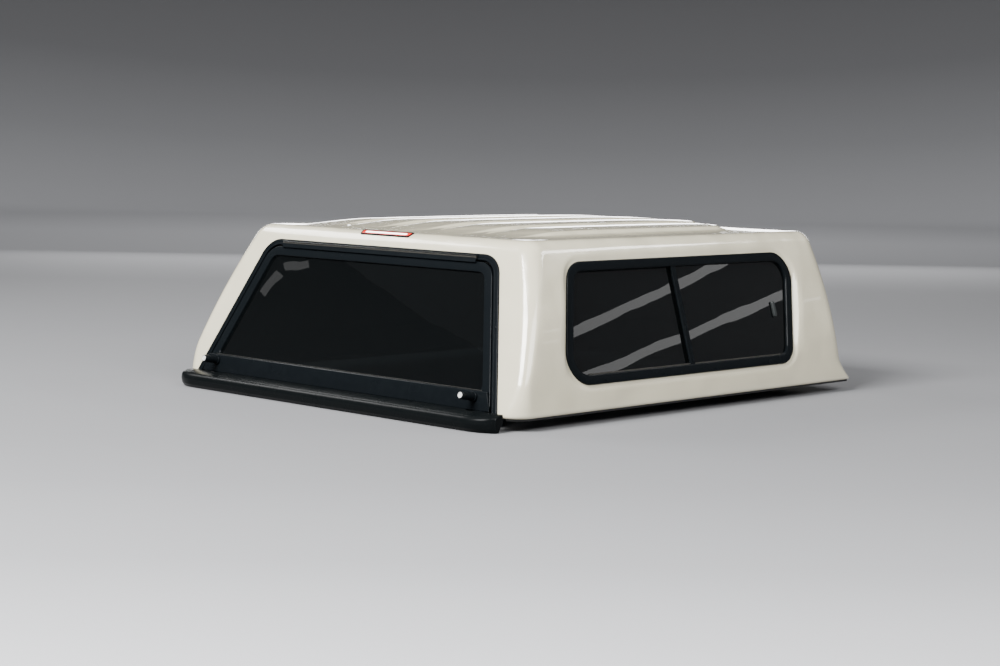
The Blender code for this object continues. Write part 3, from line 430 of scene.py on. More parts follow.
def soften(piece: bpy.types.Object, width: float, segments: int = 2) -> None:
    """Round a piece's sharp edges with a bevel.

    Args:
        piece: The piece.
        width: The bevel's width.
        segments: The number of faces across it.
    """
    edge = piece.modifiers.new("soft_edges", "BEVEL")
    edge.width = width
    edge.segments = segments
    edge.limit_method = "ANGLE"
    edge.angle_limit = BEVEL_ANGLE
    edge.harden_normals = True


def carve(piece: bpy.types.Object, tools: Sequence[bpy.types.Object], crease: float) -> None:
    """Cut closed tools out of a piece, keep the result as its mesh and delete the tools.

    Args:
        piece: The piece, whose other modifiers are settled as well.
        tools: The objects to cut out of it.
        crease: The angle in degrees from which an edge stays sharp.
    """
    for tool in tools:
        step = piece.modifiers.new(tool.name, "BOOLEAN")
        step.operation = "DIFFERENCE"
        step.solver = "EXACT"
        step.object = tool
    bpy.context.view_layer.update()
    settled = piece.evaluated_get(bpy.context.evaluated_depsgraph_get())
    data = bpy.data.meshes.new_from_object(settled)
    piece.modifiers.clear()
    piece.data = data
    shade(data, crease)
    for tool in tools:
        bpy.data.objects.remove(tool, do_unlink=True)


def cutter(name: str, bm: bmesh.types.BMesh, place: Matrix) -> bpy.types.Object:
    """Make an object that only cuts others."""
    return place_object(name, finish_mesh(name, bm), place)


# Shader effects that several finishes share

FLOAT = "NodeSocketFloat"
COLOUR = "NodeSocketColor"
VECTOR = "NodeSocketVector"


@dataclass
class NodeSheet:
    """A node tree, with short ways to add the nodes that effects and finishes use."""

    tree: bpy.types.NodeTree

    def add(self, kind: str, sockets: dict | None = None, **settings: object) -> bpy.types.Node:
        """Add a shader node, set its properties and fill its inputs.

        Args:
            kind: The node's type, without the words that all shader nodes share.
            sockets: Input name or index to a value, or to the output that feeds it.
            settings: Properties of the node.

        Returns:
            The node.
        """
        made = self.tree.nodes.new(f"ShaderNode{kind}")
        for key, value in settings.items():
            setattr(made, key, value)
        for key, source in (sockets or {}).items():
            if isinstance(source, Socket):
                self.tree.links.new(source, made.inputs[key])
            else:
                made.inputs[key].default_value = source
        return made

    def maths(self, operation: str, *values: object, clamp: bool = False) -> Socket:
        """Work out a value from two or three others."""
        sockets = dict(enumerate(values))
        return self.add("Math", sockets, operation=operation, use_clamp=clamp).outputs[0]

    def spread(self, value: Socket, low: object, high: object) -> Socket:
        """Map the range of a value from low to high onto 0 to 1."""
        return self.add("MapRange", {"Value": value, "From Min": low, "From Max": high}).outputs[0]

    def space(self) -> Socket:
        """Return the place in the piece's own space."""
        return self.add("TexCoord").outputs["Object"]

    def noise(self, scale: object, detail: float, space: Socket | None = None) -> Socket:
        """Return noise, in the piece's own space where no other is given."""
        sockets = {"Vector": space or self.space(), "Scale": scale, "Detail": detail}
        return self.add("TexNoise", sockets).outputs["Fac"]

    def drift(self, given: Sequence, detail: float, middle: object, clamp: bool = False) -> Socket:
        """Return noise of a given scale and amount about a middle value."""
        centred = self.maths("SUBTRACT", self.noise(given["Scale"], detail), 0.5)
        return self.maths("MULTIPLY_ADD", centred, given["Amount"], middle, clamp=clamp)

    def patches(self, mask: Socket, given: Sequence, detail: float, low: float, high: float) -> Socket:
        """Break a mask up into patches of a given scale and amount."""
        broken = self.maths("MULTIPLY", mask, self.spread(self.noise(given["Scale"], detail), low, high))
        return self.maths("MULTIPLY", broken, given["Amount"], clamp=True)

    def cover(self, under: Socket, over: Colour, mask: Socket) -> Socket:
        """Lay one colour over another by a mask."""
        sockets = {"Factor": mask, 6: under, 7: (*over, 1.0)}
        return self.add("Mix", sockets, data_type="RGBA").outputs[2]


class Effects:
    """The shader node groups: inputs, name and kind of the output, and a method for each."""

    sockets: dict[str, tuple[dict[str, str], str, str]] = {
        "tone_drift": ({"Colour": COLOUR, "Scale": FLOAT, "Amount": FLOAT}, "Colour", COLOUR),
        "gloss_drift": ({"Roughness": FLOAT, "Scale": FLOAT, "Amount": FLOAT}, "Roughness", FLOAT),
        "surface_relief": (
            {"Wave Scale": FLOAT, "Grain Scale": FLOAT, "Grain Share": FLOAT}, "Height", FLOAT
        ),
        "settled_dust": ({"Scale": FLOAT, "Amount": FLOAT}, "Mask", FLOAT),
        "rubbed_edges": ({"Scale": FLOAT, "Amount": FLOAT}, "Mask", FLOAT),
        "drawn_grain": ({"Scale": FLOAT}, "Height", FLOAT),
        "flecks": ({"Scale": FLOAT, "Size": FLOAT}, "Mask", FLOAT),
        "distance_grade": ({"Axis": VECTOR, "Near": FLOAT, "Far": FLOAT}, "Mask", FLOAT),
    }

    def group(self, name: str) -> bpy.types.NodeTree:
        """Return an effect's group, which the method of its name fills on first use.

        Args:
            name: The effect's name.

        Returns:
            The group's tree.
        """
        if name in bpy.data.node_groups:
            return bpy.data.node_groups[name]
        inputs, label, kind = self.sockets[name]
        tree = bpy.data.node_groups.new(name, "ShaderNodeTree")
        for key, value in inputs.items():
            tree.interface.new_socket(name=key, in_out="INPUT", socket_type=value)
        tree.interface.new_socket(name=label, in_out="OUTPUT", socket_type=kind)
        given = tree.nodes.new("NodeGroupInput").outputs
        end = tree.nodes.new("NodeGroupOutput").inputs[0]
        tree.links.new(getattr(self, name)(NodeSheet(tree), given), end)
        return tree

    def tone_drift(self, sheet: NodeSheet, given: Sequence) -> Socket:
        """Let a colour's lightness drift slowly over a surface."""
        sockets = {"Value": sheet.drift(given, 4.0, 1.0), "Color": given["Colour"]}
        return sheet.add("HueSaturation", sockets).outputs["Color"]

    def gloss_drift(self, sheet: NodeSheet, given: Sequence) -> Socket:
        """Let a roughness drift over a surface."""
        return sheet.drift(given, 5.0, given["Roughness"], clamp=True)

    def surface_relief(self, sheet: NodeSheet, given: Sequence) -> Socket:
        """Return a relief of broad waves and fine grain."""
        wave, grain = sheet.noise(given["Wave Scale"], 1.5), sheet.noise(given["Grain Scale"], 3.0)
        return sheet.add("Mix", {"Factor": given["Grain Share"], "A": wave, "B": grain}).outputs["Result"]

    def settled_dust(self, sheet: NodeSheet, given: Sequence) -> Socket:
        """Return the mask of dust that settles on faces that look up."""
        split = sheet.add("SeparateXYZ", {0: sheet.add("NewGeometry").outputs["Normal"]})
        return sheet.patches(sheet.spread(split.outputs["Z"], -0.2, 1.0), given, 6.0, 0.35, 0.75)

    def rubbed_edges(self, sheet: NodeSheet, given: Sequence) -> Socket:
        """Return the mask of sharp edges, lightened partly as wear from handling and partly as painted
        highlight.
        """
        edges = sheet.spread(sheet.add("NewGeometry").outputs["Pointiness"], 0.52, 0.62)
        return sheet.patches(edges, given, 4.0, 0.40, 0.60)

    def drawn_grain(self, sheet: NodeSheet, given: Sequence) -> Socket:
        """Return the fine lines that drawing leaves along x."""
        drawn = sheet.add("VectorMath", {0: sheet.space(), 1: (0.02, 1.0, 1.0)}, operation="MULTIPLY")
        return sheet.noise(given["Scale"], 3.0, drawn.outputs[0])

    def flecks(self, sheet: NodeSheet, given: Sequence) -> Socket:
        """Return the mask of small scattered flecks."""
        cells = sheet.add("TexVoronoi", {"Vector": sheet.space(), "Scale": given["Scale"]})
        return sheet.maths("LESS_THAN", cells.outputs["Distance"], given["Size"])

    def distance_grade(self, sheet: NodeSheet, given: Sequence) -> Socket:
        """Return the mask that grows from a near to a far distance along an axis, for a painted light
        falloff.
        """
        along = sheet.add("VectorMath", {0: sheet.space(), 1: given["Axis"]}, operation="DOT_PRODUCT")
        return sheet.spread(along.outputs["Value"], given["Near"], given["Far"])


@dataclass
class Surface(NodeSheet):
    """The nodes of a material under construction."""

    effects: Effects

    def effect(self, name: str, **values: object) -> Socket:
        """Place an effect's group, with _ for a space in the names of its inputs."""
        sockets = {key.replace("_", " "): value for key, value in values.items()}
        return self.add("Group", sockets, node_tree=self.effects.group(name)).outputs[0]


# Finishes


@dataclass(frozen=True)
class Finish:
    """A surface finish: colour, gloss, relief, dust, and edges lightened as wear and painted highlight, each
    with its own values.
    """

    name: str
    colour: Colour
    roughness: float
    metallic: float = 0.0
    specular: float = 0.5
    coat: float = 0.0
    coat_roughness: float = 0.03
    tone_scale: float = 3.0
    tone_amount: float = 0.06
    gloss_scale: float = 9.0
    gloss_amount: float = 0.10
    wave_scale: float = 6.0
    grain_scale: float = 700.0
    grain_share: float = 0.5
    relief: float = 0.00012
    dust_colour: Colour = (0.42, 0.40, 0.36)
    dust_scale: float = 14.0
    dust_amount: float = 0.0
    edge_colour: Colour = (0.25, 0.25, 0.25)
    edge_scale: float = 40.0
    edge_amount: float = 0.0

    def build(self, effects: Effects) -> bpy.types.Material:
        """Build the finish as a material.

        Args:
            effects: The shader groups.

        Returns:
            The material.
        """
        made = bpy.data.materials.new(self.name)
        made.use_nodes = True
        shader = made.node_tree.nodes["Principled BSDF"].inputs
        for label, value in self.constants().items():
            shader[label].default_value = value
        surface = Surface(made.node_tree, effects)
        gloss = {"Roughness": self.roughness, "Scale": self.gloss_scale, "Amount": self.gloss_amount}
        bump = surface.add("Bump", {"Height": self.height(surface), "Distance": self.relief})
        for label, source in (
            ("Base Color", self.tint(surface, self.drifting(surface))),
            ("Roughness", surface.effect("gloss_drift", **gloss)),
            ("Normal", bump.outputs["Normal"]),
        ):
            surface.tree.links.new(source, shader[label])
        return made

    def constants(self) -> dict[str, object]:
        """Return the shader's plain values by socket."""
        coat = {"Coat Weight": self.coat, "Coat Roughness": self.coat_roughness}
        return {"Metallic": self.metallic, "Specular IOR Level": self.specular, **coat}

    def drifting(self, surface: Surface) -> Socket:
        """Return the colour with its slow drift."""
        values = {"Scale": self.tone_scale, "Amount": self.tone_amount}
        return surface.effect("tone_drift", Colour=(*self.colour, 1.0), **values)

    def tint(self, surface: Surface, colour: Socket) -> Socket:
        """Lay edges lightened as wear and painted highlight, and dust, over the colour.

        Args:
            surface: The material's nodes.
            colour: The drifting colour.

        Returns:
            The finished colour.
        """
        for effect, amount, scale, over in (
            ("rubbed_edges", self.edge_amount, self.edge_scale, self.edge_colour),
            ("settled_dust", self.dust_amount, self.dust_scale, self.dust_colour),
        ):
            if amount > 0.0:
                mask = surface.effect(effect, Scale=scale, Amount=amount)
                colour = surface.cover(colour, over, mask)
        return colour

    def height(self, surface: Surface) -> Socket:
        """Return the height of the surface's waves and grain."""
        scales = {"Wave_Scale": self.wave_scale, "Grain_Scale": self.grain_scale}
        return surface.effect("surface_relief", **scales, Grain_Share=self.grain_share)


@dataclass(frozen=True)
class FleckedFinish(Finish):
    """A sprayed finish with small flecks of another colour."""

    fleck_colour: Colour = (0.12, 0.12, 0.12)
    fleck_scale: float = 160.0
    fleck_size: float = 0.22

    def tint(self, surface: Surface, colour: Socket) -> Socket:
        """Lay the flecks over the colour."""
        mask = surface.effect("flecks", Scale=self.fleck_scale, Size=self.fleck_size)
        return surface.cover(colour, self.fleck_colour, mask)


@dataclass(frozen=True)
class GradedFinish(Finish):
    """A finish whose lightness changes along a direction, which paints light and shade."""

    axis: Spot = (-0.70, 0.715, 2.0)
    near: float = -4.0
    far: float = 28.0
    tones: tuple[Point, ...] = ((0.0, 0.5), (1.0, 0.5))

    def tint(self, surface: Surface, colour: Socket) -> Socket:
        """Scale the colour by the tone at each distance: painted light and shade.

        Args:
            surface: The material's nodes.
            colour: The drifting colour.

        Returns:
            The graded colour.
        """
        grade = surface.effect("distance_grade", Axis=self.axis, Near=self.near, Far=self.far)
        ramp = surface.add("ValToRGB", {0: grade})
        stops = ramp.color_ramp.elements
        for number, (distance, tone) in enumerate(self.tones):
            share = (distance - self.near) / (self.far - self.near)
            stop = stops[number] if number < 2 else stops.new(share)
            stop.position = share
            stop.color = (tone, tone, tone, 1.0)
        sockets = {0: 1.0, 6: colour, 7: ramp.outputs["Color"]}
        return surface.add("Mix", sockets, data_type="RGBA", blend_type="MULTIPLY").outputs[2]


@dataclass(frozen=True)
class DrawnMetal(Finish):
    """A metal with fine lines along its length."""

    line_scale: float = 900.0

    def height(self, surface: Surface) -> Socket:
        """Return the height of the drawn lines."""
        return surface.effect("drawn_grain", Scale=self.line_scale)


@dataclass(frozen=True)
class PrivacyGlass(Finish):
    """Dark toughened glass that lets a little light through."""

    transmission: float = 0.85
    index: float = 1.5

    def constants(self) -> dict[str, object]:
        """Return the shader's plain values by socket."""
        return {**super().constants(), "Transmission Weight": self.transmission, "IOR": self.index}


@dataclass(frozen=True)
class LitPlastic(Finish):
    """A lamp's plastic that glows."""

    glow: Colour = (1.0, 0.1, 0.05)
    glow_strength: float = 1.0

    def constants(self) -> dict[str, object]:
        """Return the shader's plain values by socket."""
        glow = {"Emission Color": (*self.glow, 1.0), "Emission Strength": self.glow_strength}
        return {**super().constants(), **glow}


GELCOAT = Finish(
    "gelcoat", (0.715, 0.665, 0.50), 0.22, coat=1.0, coat_roughness=0.02, tone_amount=0.03,
    gloss_amount=0.08, wave_scale=5.0, grain_scale=420.0, grain_share=0.012, relief=0.018,
)
FLOWCOAT = FleckedFinish(
    "inner_flowcoat", (0.40, 0.40, 0.39), 0.55, wave_scale=40.0, grain_scale=260.0,
    grain_share=0.4, relief=0.0012,
)
# The powder coat's lighter edges are partly wear and partly painted highlight.
POWDER_COAT = Finish(
    "black_powder_coat", (0.0042, 0.0056, 0.0068), 0.26, specular=0.07, tone_amount=0.12,
    grain_scale=900.0, grain_share=0.9, relief=0.00006, dust_amount=0.003,
    edge_colour=(0.020, 0.023, 0.026), edge_amount=0.10,
)
LIP_PLASTIC = Finish(
    "lip_moulding", (0.0036, 0.0046, 0.0050), 0.27, specular=0.05, tone_amount=0.15,
    grain_scale=520.0, grain_share=0.9, dust_amount=0.006, dust_scale=22.0,
)
GLASS = PrivacyGlass(
    "privacy_glass", (0.012, 0.015, 0.016), 0.006, specular=0.4, tone_amount=0.02,
    gloss_amount=0.004, wave_scale=3.2, grain_share=0.0, relief=0.0008,
)
SEAL_RUBBER = Finish(
    "seal_rubber", (0.012, 0.012, 0.012), 0.62, tone_amount=0.3, grain_scale=600.0,
    grain_share=0.8, relief=0.0002, dust_amount=0.16,
)
ALUMINIUM = DrawnMetal(
    "drawn_aluminium", (0.17, 0.163, 0.145), 0.34, metallic=1.0, relief=0.00008, tone_amount=0.12
)
TRIM_METAL = DrawnMetal(
    "dull_trim", (0.030, 0.030, 0.028), 0.42, metallic=1.0, relief=0.00008, tone_amount=0.12
)
PULL_PLASTIC = Finish("pull_plastic", (0.026, 0.030, 0.030), 0.30, relief=0.00005)
# The key face is plated, and its near-white, mostly diffuse colour also paints the plating's bright
# reflection.
CHROME = Finish(
    "key_face_plating", (0.90, 0.89, 0.86), 0.30, metallic=0.25, relief=0.00002, grain_share=0.6
)
LENS_RED = LitPlastic(
    "brake_lens", (0.35, 0.012, 0.008), 0.12, coat=0.5, relief=0.00005,
    glow=(1.0, 0.020, 0.006), glow_strength=1.3,
)
LAMP_CORE = LitPlastic(
    "brake_lamp_core", (0.95, 0.90, 0.88), 0.25, relief=0.00005,
    glow=(1.0, 0.90, 0.86), glow_strength=5.0,
)
# The stage's tones are painted light and shade: lighter between the camera and the canopy and at the
# backdrop's foot, darker round the canopy and up the backdrop.
STUDIO_FLOOR = GradedFinish(
    "studio_floor", (0.96, 0.965, 1.0), 0.85, specular=0.2, tone_scale=0.6, tone_amount=0.02,
    relief=0.00002,
    tones=(
        (-4.0, 0.60), (-3.5, 0.465), (-2.9, 0.335), (-1.95, 0.265), (-1.3, 0.248), (2.3, 0.248),
        (4.7, 0.255), (7.8, 0.42), (10.1, 0.55), (14.0, 0.61), (15.5, 0.49), (17.6, 0.34),
        (20.1, 0.213), (28.0, 0.05),
    ),
)

SLOT_FINISH = {
    Slot.SHELL: GELCOAT,
    Slot.FRAME: POWDER_COAT,
    Slot.LIP: LIP_PLASTIC,
    Slot.GLASS: GLASS,
    Slot.RUBBER: SEAL_RUBBER,
    Slot.ALUMINIUM: ALUMINIUM,
    Slot.CHROME: CHROME,
    Slot.LENS: LENS_RED,
}


@dataclass
class Workshop:
    """Makes pieces, dresses them and ties them to the model's bodies."""

    frame: dict
    effects: Effects = field(default_factory=Effects)
    built: dict[str, bpy.types.Material] = field(default_factory=dict)
    replaced: set[str] = field(default_factory=set)

    def paint(self, finish: Finish) -> bpy.types.Material:
        """Return a finish's material, built on first use.

        Args:
            finish: The finish.

        Returns:
            The material.
        """
        if finish.name not in self.built:
            self.built[finish.name] = finish.build(self.effects)
        return self.built[finish.name]

    def add(
        self,
        name: str,
        mesh: bmesh.types.BMesh | bpy.types.Mesh,
        place: Matrix,
        slot: Slot,
        body: Body,
        replaces: Sequence[str] = (),
        finish: Finish | None = None,
        crease: float = CREASE,
    ) -> bpy.types.Object:
        """Add a piece to the scene.

        Args:
            name: The piece's name.
            mesh: Its shape, in the axes of its own unit.
            place: The world matrix of that unit.
            slot: The record's material slot.
            body: The body that it moves with.
            replaces: The CAD nodes that it stands for.
            finish: Its finish, where that isn't the slot's own.
            crease: The angle in degrees from which an edge stays sharp.

        Returns:
            The piece.
        """
        data = mesh if isinstance(mesh, bpy.types.Mesh) else finish_mesh(name, mesh, crease)
        made = place_object(name, data, place)
        data.materials.append(self.paint(finish or SLOT_FINISH[slot]))
        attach(made, body.value)
        if replaces:
            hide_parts(*replaces)
            self.replaced.update(replaces)
        LOG.info("%s: %d faces, rides on %s", name, len(data.polygons), body.value)
        return made

    def dress_frame(self) -> None:
        """Dress the CAD nodes that stay in view and soften their edges."""
        for part in self.frame["record"]["subparts"]:
            if part["node"] in self.replaced:
                continue
            node = self.frame["nodes"][part["node"]]
            slot = Slot(part["material_slot"])
            node.data.materials.clear()
            node.data.materials.append(self.paint(SLOT_FINISH[slot]))
            soften(node, CAD_EDGE)
            LOG.info("%s: kept from the CAD model", part["node"])


# Shared sizes and frames


@dataclass(frozen=True)
class Layout:
    """Sizes that several sub-assemblies share, and the frames that they are drawn in."""

    base_width: float = 1.566
    base_length: float = 1.661
    roof_height: float = 0.500
    side_lean_in: float = 0.150
    side_bow: float = 0.027
    rear_rake: float = math.radians(21.2)
    front_lean_back: float = 0.040
    front_flare: float = 0.014
    front_flare_height: float = 0.075
    flare_power: float = 1.5
    roof_fillet: float = 0.034
    shell_wall: float = 0.005
    lip_reach: float = 0.080
    lip_drop: float = 0.039
    touch: float = 0.0003
    slide: float = 0.0005

    @property
    def canopy(self) -> Matrix:
        """Return the canopy frame."""
        return Matrix.Translation((0.0, -(self.base_length - self.lip_reach) / 2.0, self.lip_drop))

    @property
    def rear_face(self) -> Matrix:
        """Return the frame of the raked rear face."""
        return self.canopy @ Matrix.Rotation(-self.rear_rake, 4, "X")

    def half_width(self, z: np.ndarray | float) -> np.ndarray | float:
        """Return the shell's half width at a height, before the roof fillet."""
        share = z / self.roof_height
        return self.base_width / 2.0 - self.side_lean_in * share + 4.0 * self.side_bow * share * (1.0 - share)

    def rear_y(self, z: float) -> float:
        """Return the place of the rear face at a height."""
        return z * math.tan(self.rear_rake)

    def fade(self, z: float, height: float) -> float:
        """Return the share of a foot's flare that is left at a height."""
        return max(0.0, 1.0 - z / height) ** self.flare_power

    def front_y(self, z: float) -> float:
        """Return the place of the front face at a height."""
        flare = self.front_flare * (self.fade(z, self.front_flare_height) - 1.0)
        return self.base_length - self.front_lean_back * z / self.roof_height + flare


@dataclass(frozen=True)
class WindowPlan:
    """Outline and plane of a side window."""

    layout: Layout
    length: float = 1.1104
    rear: float = 0.2136
    bottom: float = 0.078
    top: float = 0.4365
    lean: float = 0.315
    wide_radius: float = 0.085
    tight_radius: float = 0.075
    recess: float = 0.004

    @property
    def rise(self) -> float:
        """Return the window's height, measured upright."""
        return self.top - self.bottom

    @property
    def tilt(self) -> float:
        """Return how far the window leans in."""
        widths = self.layout.half_width(self.bottom) - self.layout.half_width(self.top)
        return math.atan(widths / self.rise)

    @property
    def middle(self) -> Point:
        """Return the place of the window's middle along the canopy and up it."""
        return self.rear + (self.length + self.lean * self.rise) / 2.0, (self.bottom + self.top) / 2.0

    def pad_half_width(self, z: np.ndarray | float) -> np.ndarray | float:
        """Return the half width of the flat pad at a height.

        Args:
            z: The height.

        Returns:
            The half width.
        """
        share = (z - self.bottom) / self.rise
        low = self.layout.half_width(self.bottom)
        return low + (self.layout.half_width(self.top) - low) * share - self.recess

    def place(self, side: Side) -> Matrix:
        """Return the frame of one window.

        Args:
            side: The window's side.

        Returns:
            The world matrix.
        """
        along, up = self.middle
        spot = Matrix.Translation((side.value * self.pad_half_width(up), along, up))
        turn = Matrix.Rotation(side.value * math.pi / 2.0, 4, "Z")
        return self.layout.canopy @ spot @ turn @ Matrix.Rotation(-self.tilt, 4, "X")

    @property
    def corners(self) -> list[Point]:
        """Return the corners in the window's plane, x forward on the right side.

        Returns:
            The corners, counterclockwise from the lower rear.
        """
        high = self.rise / math.cos(self.tilt) / 2.0
        shear = self.lean * self.rise / 2.0
        half = self.length / 2.0
        return [(-half - shear, -high), (half - shear, -high), (half + shear, high), (-half + shear, high)]

    @property
    def outline(self) -> Outline:
        """Return the outline."""
        return Outline(self.corners, [self.wide_radius, self.tight_radius] * 2)


@dataclass(frozen=True)
class DoorPlan:
    """Outlines of the surround and the door leaf in the plane of the rear face."""

    layout: Layout
    foot: float = 0.705
    head: float = 0.532
    top: float = 0.487
    radius: float = 0.085
    band: float = 0.020
    proud: float = 0.006
    overlap: float = 0.0145
    inward: float = 0.012
    gap: float = 0.0055
    leaf_bottom: float = 0.012
    leaf_band: float = 0.031
    bottom_rail: float = 0.058
    leaf_back: float = 0.008
    leaf_corner: float = 0.0675
    glass_corner: float = 0.016
    glass_lap: float = 0.010
    glass_thickness: float = 0.005
    panel_rake: float = math.radians(10.0)
    panel_top_out: float = 0.018
    panel_margin: float = 0.002
    open_foot: tuple[float, ...] = (1.0, 1.0, 1.0, 0.0)
    corner_steps: int = 20

    @property
    def surround(self) -> Outline:
        """Return the surround's outline.

        Returns:
            The outline, which is open at its foot.
        """
        radii = [0.0, self.radius, self.radius, 0.0]
        corners = taper(self.foot, self.head, 0.0, self.top)
        return Outline(corners, radii, self.open_foot, steps=self.corner_steps)

    @property
    def leaf_top(self) -> float:
        """Return the height of the leaf's upper edge."""
        return self.top - self.band - self.gap

    def leaf_half_width(self, up: float) -> float:
        """Return the leaf's half width at a distance up the rear face."""
        foot, head = inset_polygon(self.surround.corners, self.band + self.gap, self.open_foot)[:2]
        return mix(foot.x, head.x, (up - foot.y) / (head.y - foot.y))

    def leaf_at(self, inset: float) -> list[Point]:
        """Return the leaf's outline at an inset, with the deeper foot rail past its edge.

        Args:
            inset: The distance that the outline is set in.

        Returns:
            The outline's points.
        """
        low, high = self.leaf_half_width(self.leaf_bottom), self.leaf_half_width(self.leaf_top)
        corners = taper(low, high, self.leaf_bottom, self.leaf_top)
        radii = [self.glass_corner, self.leaf_corner, self.leaf_corner, self.glass_corner]
        deep = inset >= self.leaf_band - self.glass_lap
        factor = 1.0 + (self.bottom_rail - self.leaf_band) / inset if deep else 1.0
        return Outline(corners, radii, [1.0, 1.0, 1.0, factor], self.glass_corner).at(inset)

    def panel_out(self, up: float) -> float:
        """Return how far the lower panel stands out at a distance up the rear face."""
        top = self.leaf_bottom + self.bottom_rail
        return self.panel_top_out - (top - up) * math.tan(self.layout.rear_rake - self.panel_rake)


@dataclass(frozen=True)
class CabPlan:
    """Outline and plane of the fixed window to the cab."""

    layout: Layout
    width: float = 1.02
    bottom: float = 0.110
    top: float = 0.405
    radius: float = 0.060
    band: float = 0.026

    @property
    def tilt(self) -> float:
        """Return how far the window leans back."""
        return math.atan(self.layout.front_lean_back / self.layout.roof_height)

    @property
    def place(self) -> Matrix:
        """Return the window's frame.

        Returns:
            The world matrix.
        """
        middle = (self.bottom + self.top) / 2.0
        spot = Matrix.Translation((0.0, self.layout.front_y(middle), middle))
        turn = Matrix.Rotation(math.pi, 4, "Z") @ Matrix.Rotation(-self.tilt, 4, "X")
        return self.layout.canopy @ spot @ turn

    @property
    def outline(self) -> Outline:
        """Return the outline."""
        up = (self.top - self.bottom) / math.cos(self.tilt) / 2.0
        return Outline(box(0.0, 0.0, self.width / 2.0, up), [self.radius] * 4)


@dataclass(frozen=True)
class LightPlan:
    """Outline and plane of the high brake light."""

    layout: Layout
    length: float = 0.239
    height: float = 0.026
    slant: float = 0.008
    around: float = math.radians(55.0)
    corner: float = 0.004
    corner_steps: int = 5

    @property
    def place(self) -> Matrix:
        """Return the light's frame, part way round the roof fillet.

        Returns:
            The world matrix.
        """
        fillet = self.layout.roof_fillet
        z = self.layout.roof_height - fillet + fillet * math.sin(self.around)
        y = self.layout.rear_y(z) + fillet * (1.0 - math.cos(self.around))
        run = math.cos(self.around) * math.tan(self.layout.rear_rake) + math.sin(self.around)
        lean = math.atan2(run, math.cos(self.around))
        return self.layout.canopy @ Matrix.Translation((0.0, y, z)) @ Matrix.Rotation(-lean, 4, "X")

    @property
    def outline(self) -> Outline:
        """Return the outline.

        Returns:
            The outline, which is narrower at its foot.
        """
        half, up = self.length / 2.0, self.height / 2.0
        corners = [(-half + self.slant, -up), (half - self.slant, -up), (half, up), (-half, up)]
        return Outline(corners, [self.corner] * 4, steps=self.corner_steps)


@dataclass
class SubAssembly:
    """Pieces that belong together, made by one shop to one layout."""

    shop: Workshop
    layout: Layout


# The moulded shell


